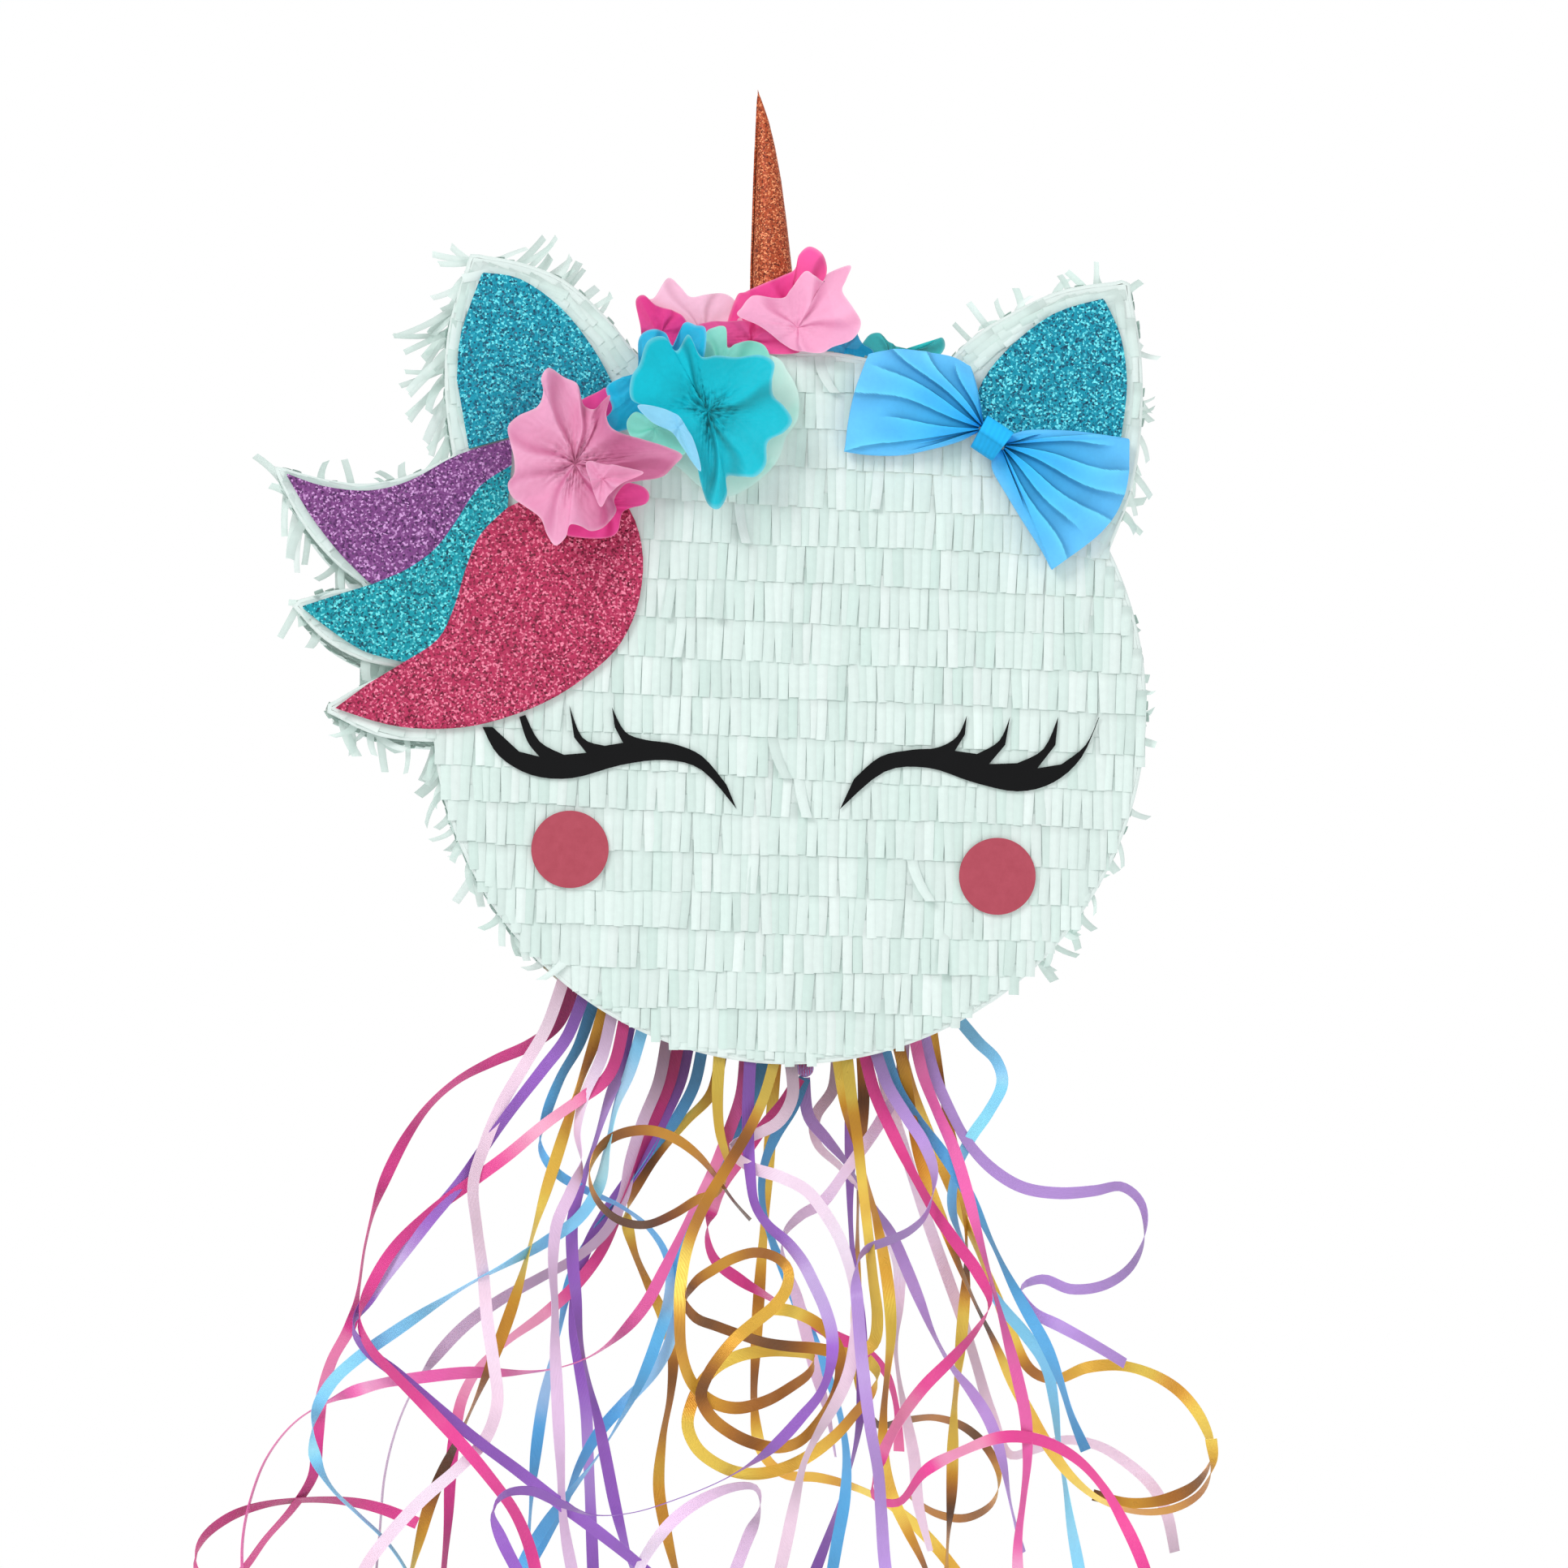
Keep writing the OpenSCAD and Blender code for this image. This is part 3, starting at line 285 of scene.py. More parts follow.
# Node, row, rank in the row from front to back, X of the root, and the route in X and Z, with a
# third number where it moves in depth to pass over itself, as in the CAD source
RIBBONS = [
    ("gold_ribbon_coil", "front", 0, -8, [(-13, -367, -2), (-21, -384, -6), (-32, -402, -9),
     (-43, -420, -10), (-51, -438, -11), (-55, -456, -12), (-56, -474, -13), (-55, -491, -15),
     (-50, -505, -17), (-40, -514, -18), (-28, -517, -18), (-14, -514, -16), (-2, -508, -12), (8, -501, -8),
     (9, -493, -4), (-3, -491, -1), (-14, -491, -1), (-26, -493, -1), (-37, -498, -2), (-45, -506, -4),
     (-50, -516, -7), (-52, -526, -11), (-48, -536, -14), (-40, -543, -17), (-29, -548, -18),
     (-17, -549, -18), (-4, -546, -17), (8, -540, -15), (20, -531, -12), (30, -520, -10), (38, -511, -7),
     (41, -502, -4), (36, -495, -2)]),
    ("gold_ribbon_coil", "front", -1, 28, [(30, -368, -2), (33, -390, -4), (35, -412, -6), (37, -434, -7),
     (39, -456, -7), (41, -474, -6), (39, -487, -6), (30, -492, -6), (20, -491, -6), (9, -489, -6),
     (-3, -488, -6), (-15, -486, -6), (-27, -482, -7), (-38, -478, -7), (-48, -474, -8), (-53, -466, -8),
     (-48, -457, -9), (-39, -451, -9), (-30, -446, -10), (-19, -443, -10), (-9, -445, -11), (-3, -451, -12),
     (-4, -460, -13), (-10, -468, -15), (-19, -475, -16), (-29, -483, -18), (-37, -492, -19),
     (-43, -501, -20), (-46, -511, -20), (-41, -521, -20), (-31, -529, -20), (-20, -534, -20),
     (-8, -536, -20), (2, -533, -20), (11, -524, -18), (18, -513, -16), (22, -501, -13), (21, -489, -11),
     (16, -481, -8), (8, -475, -7), (-2, -471, -6), (-12, -470, -6)]),
    ("gold_ribbons_left", "front", 1, -35, [(-36, -366), (-35, -384), (-31, -402), (-36, -414), (-46, -418),
     (-58, -425), (-72, -430), (-86, -427), (-96, -417), (-99, -405), (-94, -393), (-84, -386), (-70, -384),
     (-57, -388), (-45, -397, -0.6), (-36, -408, -0.9), (-28, -419, -0.9), (-20, -428, -0.9)]),
    ("magenta_ribbons_left", "front", 2, -82, [(-86, -349), (-92, -360), (-104, -369), (-121, -381),
     (-139, -396), (-158, -410), (-177, -424), (-193, -439), (-204, -456), (-211, -474), (-206, -489),
     (-193, -503), (-177, -519), (-161, -536), (-147, -553), (-135, -570), (-127, -590), (-123, -612),
     (-120, -634)]),
    ("purple_ribbons_left", "front", 4, -102, [(-110, -338), (-122, -354), (-136, -372), (-149, -390),
     (-162, -409), (-177, -427), (-192, -446), (-205, -463), (-214, -478), (-208, -490), (-193, -502),
     (-174, -518), (-154, -534), (-134, -549), (-114, -565), (-94, -580), (-74, -596), (-56, -612),
     (-44, -632)]),
    ("pale_ribbons", "front", 5, -112, [(-120, -333), (-131, -352), (-142, -371), (-150, -390),
     (-156, -410), (-154, -432), (-151, -454), (-149, -476), (-146, -496), (-144, -516), (-150, -534),
     (-164, -549), (-180, -563), (-196, -580), (-209, -598), (-216, -620)]),
    ("magenta_ribbon_right", "front", 6, 37, [(42, -366), (51, -386), (61, -406), (71, -424), (82, -440),
     (92, -454), (98, -469), (91, -483), (79, -497), (65, -511), (53, -527), (44, -545), (40, -562, -0.5),
     (53, -566, -0.9), (66, -551, -0.9), (86, -541, -0.9), (105, -535, -0.9), (124, -537, -0.9),
     (141, -546, -0.9), (154, -560, -0.9), (164, -577, -0.9), (172, -594, -0.9), (180, -616, -0.9)]),
    ("pink_ribbons", "front", 7, 62, [(66, -357), (73, -375), (81, -393), (87, -412), (92, -431),
     (97, -450), (102, -469), (107, -488), (112, -507), (116, -526), (117, -546), (115, -566), (112, -588),
     (112, -612)]),
    ("light_blue_ribbons", "front", 8, -73, [(-79, -355), (-86, -373), (-90, -392), (-94, -411),
     (-104, -427), (-121, -439), (-139, -449), (-158, -459), (-176, -470), (-194, -482), (-211, -494),
     (-225, -507), (-233, -523), (-233, -541), (-225, -557), (-211, -571), (-197, -585), (-186, -603),
     (-180, -626)]),
    ("gold_ribbons_left", "front", 9, -92, [(-97, -342), (-103, -359), (-109, -378), (-115, -397),
     (-121, -416), (-127, -436), (-132, -455), (-138, -474), (-145, -493), (-153, -512), (-161, -530),
     (-170, -549), (-177, -567), (-182, -585), (-187, -605), (-190, -626)]),
    ("gold_ribbons_middle", "front", 10, 24, [(27, -368), (32, -387), (37, -406), (42, -425), (46, -444),
     (49, -464), (50, -484), (48, -504), (46, -524), (46, -545), (50, -563), (58, -581), (67, -600),
     (74, -622)]),
    ("blue_ribbon_right", "front", 11, 47, [(53, -363), (63, -378), (74, -393), (84, -408), (93, -424),
     (101, -441), (109, -458), (118, -475), (127, -491), (134, -508), (140, -526), (147, -543)]),
    ("pink_ribbons", "front", 12, -22, [(-24, -367), (-30, -385), (-37, -402), (-46, -419), (-54, -436),
     (-62, -453), (-71, -470), (-83, -484), (-98, -495), (-116, -501), (-136, -503), (-158, -503),
     (-180, -505), (-202, -508), (-223, -515), (-242, -526), (-256, -543), (-264, -563), (-268, -584),
     (-268, -608)]),
    ("purple_ribbons_left", "front", 13, -79, [(-84, -354), (-90, -371), (-96, -390), (-102, -409),
     (-107, -428), (-107, -448), (-105, -468), (-103, -488), (-99, -508), (-94, -528), (-90, -548),
     (-86, -568), (-81, -588), (-75, -608), (-70, -634)]),
    ("gold_ribbons_right", "front", 14, 54, [(58, -360), (61, -380), (65, -399), (71, -417), (78, -435),
     (85, -453), (93, -471), (102, -489), (110, -507), (119, -524), (128, -540), (140, -556), (155, -568),
     (173, -574), (191, -573), (205, -565), (211, -551), (210, -538)]),
    ("magenta_ribbons_left", "front", 15, -107, [(-114, -331), (-128, -342), (-146, -350), (-163, -359),
     (-177, -371), (-188, -386), (-197, -403), (-204, -421), (-209, -441), (-212, -461), (-216, -480),
     (-225, -497), (-230, -515), (-232, -535), (-234, -553), (-244, -569), (-257, -584), (-269, -600),
     (-282, -608), (-291, -598, -0.6), (-288, -584, -1.1), (-275, -573, -1.2), (-258, -567, -1.2),
     (-238, -565, -1.2), (-218, -566, -1.2), (-200, -570, -1.2), (-183, -577, -1.2)]),
    ("lilac_ribbons", "front", 16, 67, [(72, -357), (80, -375), (89, -391), (101, -404), (116, -413),
     (134, -416), (152, -415), (166, -413), (176, -422), (177, -438), (170, -453), (157, -462), (141, -464),
     (127, -459), (116, -464), (122, -475), (135, -482), (148, -489), (160, -496), (168, -501)]),
    ("blue_ribbons_left", "front", 17, -97, [(-104, -342), (-113, -358), (-120, -376), (-123, -392),
     (-115, -405), (-100, -414), (-83, -422), (-69, -433), (-60, -448), (-59, -468), (-65, -488),
     (-73, -508), (-83, -527), (-94, -545), (-107, -562), (-120, -579), (-131, -598), (-138, -620)]),
    ("light_blue_ribbons", "front", 18, 84, [(94, -341), (103, -350), (106, -362), (99, -376), (90, -389),
     (83, -405), (81, -423), (87, -441), (96, -457), (107, -473), (119, -487), (129, -502), (133, -521),
     (135, -541), (138, -561), (141, -581), (145, -602), (149, -626)]),
    ("blue_ribbons_left", "front", 21, -13, [(-16, -366), (-24, -382), (-33, -399), (-42, -416),
     (-50, -433), (-55, -451), (-57, -470), (-58, -488), (-66, -504), (-80, -519), (-93, -534),
     (-103, -551), (-110, -569), (-120, -586), (-130, -604), (-136, -628)]),
    ("mauve_ribbons", "back", 0, -58, [(-62, -362), (-70, -382), (-76, -401), (-80, -420), (-89, -437),
     (-104, -450), (-122, -460), (-142, -471), (-160, -484), (-175, -500), (-187, -518), (-195, -538),
     (-200, -560), (-202, -584), (-204, -608)]),
    ("magenta_ribbons_left", "back", 1, -52, [(-56, -361), (-63, -379), (-70, -397), (-77, -415),
     (-84, -433), (-93, -450), (-106, -466), (-121, -479), (-138, -491), (-152, -504), (-161, -520),
     (-165, -540), (-167, -560), (-168, -581), (-170, -604), (-172, -628)]),
    ("purple_ribbons_left", "back", 2, -47, [(-51, -362), (-59, -380), (-68, -398), (-79, -414),
     (-90, -430), (-99, -447), (-104, -466), (-105, -486), (-102, -506), (-99, -526), (-98, -546),
     (-97, -566), (-96, -588), (-95, -612)]),
    ("blue_ribbons_left", "back", 3, -40, [(-44, -364), (-53, -381), (-64, -397), (-76, -413), (-88, -430),
     (-100, -448), (-108, -466), (-112, -486), (-117, -506), (-121, -526), (-124, -547), (-126, -568),
     (-128, -592), (-132, -618)]),
    ("gold_ribbons_middle", "back", 4, -30, [(-35, -368), (-48, -382), (-61, -396), (-71, -411),
     (-78, -428), (-75, -446), (-68, -463), (-60, -480), (-55, -499), (-56, -520), (-60, -542), (-62, -566),
     (-58, -590), (-52, -614)]),
    ("pale_ribbons", "back", 5, 29, [(27, -366), (18, -380), (19, -394), (31, -406), (43, -420), (53, -436),
     (60, -454), (60, -474), (58, -494), (60, -514), (64, -534), (68, -554), (70, -576), (76, -600)]),
    ("gold_ribbons_right", "back", 6, 77, [(80, -353), (84, -373), (88, -394), (93, -416), (95, -438),
     (95, -460), (93, -481), (91, -502), (89, -524), (88, -546), (87, -570), (85, -594), (84, -618)]),
    ("gold_ribbons_right", "back", 7, 60, [(66, -362), (74, -384), (84, -408), (95, -434), (106, -460),
     (116, -486), (127, -508), (141, -514), (157, -508), (174, -507), (191, -512), (206, -522), (217, -537),
     (221, -553), (213, -567), (197, -575), (178, -577), (160, -573)]),
    ("purple_ribbons_right", "back", 9, 34, [(36, -372), (36, -400), (36, -428), (38, -456), (41, -482),
     (42, -508), (41, -534), (37, -556), (31, -576), (24, -596), (16, -616)]),
    ("gold_ribbons_middle", "back", 10, -2, [(-4, -378), (-6, -408), (-8, -438), (-10, -468), (-12, -498),
     (-13, -526), (-9, -550), (3, -562), (20, -564), (36, -568), (52, -575), (66, -585), (79, -598),
     (92, -614)]),
    ("gold_ribbons_right", "back", 11, 42, [(43, -372), (41, -402), (40, -432), (40, -462), (40, -492),
     (42, -520), (50, -537), (65, -535), (80, -534), (95, -539), (107, -550), (113, -564), (109, -578),
     (95, -585), (79, -582), (66, -573)]),
    ("pale_ribbons", "back", 12, 50, [(55, -368), (63, -394), (72, -422), (82, -450), (92, -478),
     (101, -506), (109, -532), (118, -553), (131, -551), (147, -546), (164, -549), (179, -558), (192, -570),
     (200, -585), (204, -604)]),
    ("pale_ribbons", "front", -2, 0, [(1, -367), (-6, -380), (-19, -387), (-30, -393), (-20, -402),
     (-5, -407), (8, -414), (18, -427, -1), (25, -441, -4), (29, -459, -10), (29, -478, -16),
     (26, -497, -20), (20, -512, -22), (11, -528, -22), (4, -543, -20), (0, -560, -16), (-4, -580, -12),
     (-9, -604, -8)]),
    ("lilac_ribbons", "front", -3, 42, [(48, -362), (57, -377), (66, -391), (71, -407), (67, -424, -1),
     (58, -433, -3), (46, -438, -6), (35, -442, -9), (30, -451, -12), (30, -468, -16), (31, -488, -20),
     (33, -508, -22), (36, -528, -20), (40, -548, -16), (42, -570, -12), (44, -594, -8), (48, -618, -6)]),
    ("purple_ribbons_right", "front", -4, -20, [(-21, -370), (-21, -388), (-20, -406), (-18, -420),
     (-12, -430, -3), (-3, -438, -6), (4, -447, -9), (9, -457, -13), (14, -469, -18), (17, -482, -21),
     (16, -496, -22), (11, -509, -22), (2, -520, -22), (-8, -531, -22), (-19, -541, -19), (-36, -552, -12),
     (-56, -561, -6), (-78, -568, -2), (-98, -569), (-114, -563), (-127, -557, -2), (-140, -558, -4),
     (-146, -567, -4), (-142, -580, -4), (-134, -596, -4)]),
    ("mauve_ribbons", "front", 3, -88, [(-93, -348), (-101, -366), (-105, -384), (-103, -400), (-108, -414),
     (-115, -430), (-117, -450), (-116, -470), (-116, -490), (-115, -510), (-114, -530), (-113, -550),
     (-112, -570), (-109, -590), (-104, -610), (-96, -622), (-86, -622), (-79, -608), (-72, -592),
     (-60, -576), (-46, -565), (-30, -558), (-18, -558), (-16, -568), (-22, -583), (-29, -602)]),
    ("mauve_ribbons", "front", 19, 57, [(55, -364), (49, -374), (43, -384), (36, -394), (28, -405),
     (17, -420), (6, -427), (-2, -437), (-2, -450), (4, -466), (9, -485), (14, -505), (20, -525),
     (24, -547)]),
    ("pull_ribbon_magenta", "pull", -1, 7, [(-1, -372), (-12, -385), (-22, -400), (-32, -416), (-39, -433),
     (-36, -449), (-23, -460), (-8, -469), (8, -479), (24, -488), (40, -496), (51, -508), (56, -526),
     (57, -546)]),
    ("pull_ribbon_blue", "pull", 0, 10, [(4, -374), (-5, -389), (-11, -406), (-11, -424), (-6, -442),
     (1, -459), (8, -476), (15, -493), (22, -510), (28, -529), (31, -549), (30, -570), (26, -592),
     (22, -616)]),
    ("pull_ribbon_lilac", "pull", 1, 10, [(12, -378), (21, -390), (31, -402), (39, -415), (47, -427),
     (54, -438), (61, -454), (68, -471), (75, -488), (84, -504), (95, -518), (104, -533), (110, -552),
     (114, -574), (120, -598)]),
]


LANES_OPEN, OPEN_OVER = -392, 90                # the height where the lanes start to spread in depth


def lane(row, rank, z):
    """The depth of a ribbon's own lane: close together at the chin, spread apart further down."""
    s = ease((LANES_OPEN - z) / OPEN_OVER)
    if row == "front":
        return (1 - s) * (0.5 * rank - 41) + s * (2 * rank - 58)
    if row == "back":
        return (1 - s) * (31 + 0.75 * rank) + s * (16 + 2.6 * rank)
    return 4.0 * rank + 0 * s


def route(row, rank, root_x, points):
    """The line of a ribbon from its root at the chin, or under the knot for the pull ribbons."""
    if row == "pull":
        start = (root_x, KNOT_Z - KNOT_R - 0.3)
    else:
        start = (root_x, -HEAD_R - math.sqrt((TAPE_R + 0.05) ** 2 - root_x ** 2))
    p = np.array([(*start, 0.0)] + [(q[0], q[1], q[2] if len(q) > 2 else 0.0) for q in points])
    line, at = catmull(p, 2.5)
    y = lane(row, rank, line[:, 1]) + line[:, 2]
    return np.stack([line[:, 0], y, line[:, 1]], 1), at


# Places in RIBBONS of the ribbons that show their face all along
BROAD = (0, 1, 3, 4, 5, 16, 20, 22, 31, 33, 34)


# Runs where a ribbon shows only its edge: its place in RIBBONS, and X and Z of the run's two ends
EDGE_ON = [(8, (-233, -541), (-180, -626)), (12, (-83, -484), (-110, -498)),
           (12, (-215, -512), (-268, -608)), (15, (-203, -412), (-212, -455)),
           (20, (-175, -500), (-204, -608)), (34, (-15, -538), (-90, -568))]
EDGE_TURN = 1.42                                # radians from face-on in those runs
CURL_AXIS = np.array([0.12, -0.62, 0.78])       # what the curls wind about


def widths(line, at, number, coiled):
    """Which way a ribbon's width points along it: it can't bend edgewise, so where it curves its
    width turns towards the axis of the curl, and where it hangs straight it twists slowly."""
    tangent = unit(np.gradient(line, axis=0))
    side = unit(np.stack([-tangent[:, 2], 0 * at, tangent[:, 0]], 1))
    curl = unit(CURL_AXIS - (tangent @ CURL_AXIS)[:, None] * tangent)
    curl *= np.where((curl * side).sum(1) < 0, -1, 1)[:, None]
    heading = np.unwrap(np.arctan2(tangent[:, 2], tangent[:, 0]))
    bend = soften(np.abs(np.gradient(heading, at))[:, None], 4)[:, 0]
    c = 0.30 + 0.25 * np.sin(at / 31) if coiled else 0.8 * ease(bend * 38 - 0.3) * ease((at - 20) / 40)
    draw = np.random.default_rng(300 + number)
    swing = np.sin(at * TAU / draw.uniform(150, 260) + draw.uniform(0, TAU))
    most = 0.6 if number in BROAD else draw.uniform(0.9, 1.45)
    roll = most * np.abs(swing) ** 1.7 * np.sign(swing) * ease(at / 50)
    for which, *ends in EDGE_ON:
        if which == number:
            first, last = (at[np.hypot(line[:, 0] - x, line[:, 2] - z).argmin()] for x, z in ends)
            thin = ease((at - first + 12) / 24) * (1 - ease((at - last - 12) / 24))
            roll, c = roll + (EDGE_TURN - roll) * thin, c * (1 - thin)
    flat = side * np.cos(roll)[:, None] + np.array([0, 1.0, 0]) * np.sin(roll)[:, None]
    w = unit((1 - c)[:, None] * flat + c[:, None] * curl)
    for i in range(1, len(w)):
        if w[i] @ w[i - 1] < 0:
            w[i] = -w[i]
    w = soften(w, 3.0)
    return unit(w - (w * tangent).sum(1, keepdims=True) * tangent), tangent


RIBBON_LOOKS = {
    "gold": (srgb(214, 146, 34), "ribbon_gold", satin("gold_foil", 0.35, 0.3)),
    "magenta": (srgb(222, 52, 140), "ribbon_magenta", satin("magenta_satin")),
    "pink": (srgb(232, 92, 168), "ribbon_pink", satin("pink_satin")),
    "purple": (srgb(146, 88, 190), "ribbon_purple", satin("purple_satin")),
    "lilac": (srgb(182, 142, 216), "ribbon_lilac", satin("lilac_satin")),
    "mauve": (srgb(224, 190, 224), "ribbon_mauve", satin("mauve_satin")),
    "pale": (srgb(244, 212, 232), "ribbon_pale", satin("pale_satin")),
    "light_blue": (srgb(126, 204, 246), "ribbon_light_blue", satin("light_blue_satin")),
    "blue": (srgb(84, 174, 232), "ribbon_blue", satin("blue_satin")),
}
# Gold foil's painted reflections: colours from dark brown to pale yellow, picked along each gold ribbon by
# which way its face turns and by slow random streaks.
FOIL_PAINTED_REFLECTIONS = np.array([srgb(96, 56, 18), srgb(176, 108, 26), srgb(226, 162, 40), srgb(250, 214, 84)])
LIT_FROM = np.array([-0.52, -0.72, 0.46])       # a ribbon's face is palest when turned this way


def slow_noise(draw, count, sigma):
    """Smooth random values with a spread of one."""
    v = soften(draw.normal(size=(count, 1)), sigma)[:, 0]
    return v / max(v.std(), 1e-9)


def shades(at, w, tangent, node, row, colour, draw):
    """Colour along a ribbon with painted light: painted shade under the chin, paler with a painted glint
    where its face is turned to the light, and for gold painted reflections from dark brown to pale yellow.
    """
    n = np.cross(tangent, w)
    facing = np.abs(unit(n) @ LIT_FROM)
    gold = node.startswith("gold")
    # Slow random streaks along a ribbon: on gold they are painted reflection bands, on the others a random
    # change of tone that also places the painted glints.
    wander = slow_noise(draw, len(at), 4.5 if gold else 9)
    if gold:
        k = np.clip(0.60 + 0.28 * wander + 0.6 * (facing - 0.5), 0, 1) * 3
        tint = np.stack([np.interp(k, [0, 1, 2, 3], FOIL_PAINTED_REFLECTIONS[:, i]) for i in range(3)], 1)
    else:
        tint = np.array(colour[:3]) * (1 + 0.10 * wander + 0.45 * (facing - 0.5))[:, None]
        # Painted highlight: a pale glint where the face turns to the light.
        glint = 0.32 * ease((facing - 0.72) / 0.25) * ease(0.5 + 0.6 * wander)
        tint = tint + (1 - tint) * glint[:, None]
    # Painted shade: darker near the root, under the chin, or under the knot for the pull ribbons.
    root = 0.68 if gold else 0.46 if row == "back" else 0.55
    dark = root + (1 - root) * ease((at - 6) / 45) if row != "pull" else 0.75 + 0.25 * ease(at / 42)
    return np.clip(tint * (dark * draw.uniform(0.92, 1.08))[:, None], 0, 1)


def look_of(node):
    name = node.replace("pull_ribbon_", "")
    return next(v for k, v in RIBBON_LOOKS.items() if name.startswith(k))


def ribbon(number, node, row, rank, root_x, points):
    line, at = route(row, rank, root_x, points)
    draw = np.random.default_rng(100 + number)
    sway = (1.2 if row == "pull" else 2.4) * ease((at - 45) / 80)
    line[:, 1] += sway * np.sin(at * TAU / draw.uniform(90, 150) + draw.uniform(0, TAU))
    w, tangent = widths(line, at, number, node == "gold_ribbon_coil")
    n = np.cross(tangent, w)
    rings = np.stack([line + a * w * RIBBON_W / 2 + b * n * RIBBON_T / 2
                      for a, b in ((-1, -1), (1, -1), (1, 1), (-1, 1))], 1)
    count = len(line)
    faces = grid_faces(count, 4, loop=True) + [(3, 2, 1, 0), tuple(4 * count - 4 + i for i in range(4))]
    colour, slot, mat = look_of(node)
    tint = np.repeat(shades(at, w, tangent, node, row, colour, draw), 4, axis=0)
    same = sum(r[0] == node for r in RIBBONS)
    name = "strand_" + node + (f"_{number:02d}" if same > 1 else "")
    o = make(name, rings.reshape(-1, 3), faces, mat, "pull_ribbons" if row == "pull" else "root",
             [node], slot, sharp=40, tint=tint, across=np.tile([-1.0, 1.0, 1.0, -1.0], count))


for number, facts in enumerate(RIBBONS):
    ribbon(number, *facts)


# ---- surroundings: white to the camera, softly graded for reflections ----

def surroundings():
    world = bpy.data.worlds.new("studio")
    bpy.context.scene.world = world
    world.use_nodes = True
    world.node_tree.nodes.clear()
    link = world.node_tree.links.new
    out, mix, seen, lit, ramp, split, coord, path, scaled = (
        world.node_tree.nodes.new("ShaderNode" + kind) for kind in
        ("OutputWorld", "MixShader", "Background", "Background", "ValToRGB", "SeparateXYZ", "TexCoord",
         "LightPath", "MapRange"))
    scaled.inputs["From Min"].default_value = -1.0
    low, high = ramp.color_ramp.elements
    low.position, low.color = 0.25, (0.80, 0.81, 0.82, 1)
    high.position, high.color = 0.75, (0.98, 0.99, 1.0, 1)
    lit.inputs["Strength"].default_value = 0.67
    seen.inputs["Color"].default_value = (1, 1, 1, 1)
    link(coord.outputs["Generated"], split.inputs[0])
    link(split.outputs["Z"], scaled.inputs["Value"])
    link(scaled.outputs[0], ramp.inputs[0])
    link(ramp.outputs[0], lit.inputs["Color"])
    link(path.outputs["Is Camera Ray"], mix.inputs[0])
    link(lit.outputs[0], mix.inputs[1])
    link(seen.outputs[0], mix.inputs[2])
    link(mix.outputs[0], out.inputs[0])


surroundings()
FLOOR_R, FLOOR_Z, FLOOR_SIDES = 4000.0, -1600.0, 96
floor_mat = Nodes("floor_white", Roughness=0.9, Emission_Color=(1, 1, 1, 1), Emission_Strength=0.34)
floor_mat.into("Base Color", floor_mat.grey(floor_mat.noise(2.0), 0.90, 0.93))
ring = [(FLOOR_R * math.cos(TAU * i / FLOOR_SIDES), FLOOR_R * math.sin(TAU * i / FLOOR_SIDES), FLOOR_Z)
        for i in range(FLOOR_SIDES)]
floor = make("floor", ring, [tuple(range(FLOOR_SIDES))], floor_mat.mat, None)


# ---- the drum's outline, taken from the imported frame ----

def outline_of(node, y):
    """The closed border lines, in X and Z, of a node's flat face at depth y."""
    bm = bmesh.new()
    bm.from_mesh(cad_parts[node].data)
    bmesh.ops.remove_doubles(bm, verts=bm.verts, dist=1e-5)
    flat = {f for f in bm.faces if all(abs(v.co.y / MM - y) < 0.05 for v in f.verts)}
    border = [e for e in bm.edges if sum(f in flat for f in e.link_faces) == 1]
    near = {}
    for e in border:
        a, b = e.verts
        near.setdefault(a, []).append(b)
        near.setdefault(b, []).append(a)
    loops, left = [], set(near)
    while left:
        start = min(left, key=lambda v: v.index)
        line, at, before = [start], start, None
        while True:
            nxt = next((v for v in near[at] if v is not before), None)
            if nxt is None or nxt is start or len(line) > len(near):
                break
            line.append(nxt)
            before, at = at, nxt
        left -= set(line)
        loops.append(np.array([(v.co.x, v.co.z) for v in line]) / MM)
    bm.free()
    return sorted(loops, key=len, reverse=True)


def inside_by(points, loops):
    """How far each point lies inside closed border lines, below zero outside them."""
    p = points[:, None, :]
    inside, near = np.zeros(len(points), bool), np.full(len(points), 1e9)
    for line in loops:
        a, b = line[None], np.roll(line, -1, 0)[None]
        d = b - a
        t = np.clip(((p - a) * d).sum(-1) / np.maximum((d * d).sum(-1), 1e-9), 0, 1)
        near = np.minimum(near, np.linalg.norm(p - a - t[..., None] * d, axis=-1).min(1))
        over = (a[..., 1] > p[..., 1]) != (b[..., 1] > p[..., 1])
        run = np.where(np.abs(d[..., 1]) < 1e-12, 1e-12, d[..., 1])
        cross = a[..., 0] + (p[..., 1] - a[..., 1]) * d[..., 0] / run
        inside ^= ((over & (p[..., 0] < cross)).sum(1) % 2).astype(bool)
    return np.where(inside, near, -near)


# ---- tissue fringe: rows of cut strips ----

STRIP_W, STRIP_L, PITCH, ROWS_FROM = 4.8, 27.0, 19.2, -172.0
ROWS, ROW_ENDS = range(-13, 13), (-262, 200)
SEG, COLS = 5, 3                                # a strip's mesh, along and across
WHITE = np.array(srgb(223, 235, 231)[:3])       # the tissue's two tones
GREEN = np.array(srgb(205, 225, 218)[:3])
tissue_mat = tissue("tissue_fringe")
pasted_mat = tissue("tissue_pasted", 90, 0.0012)


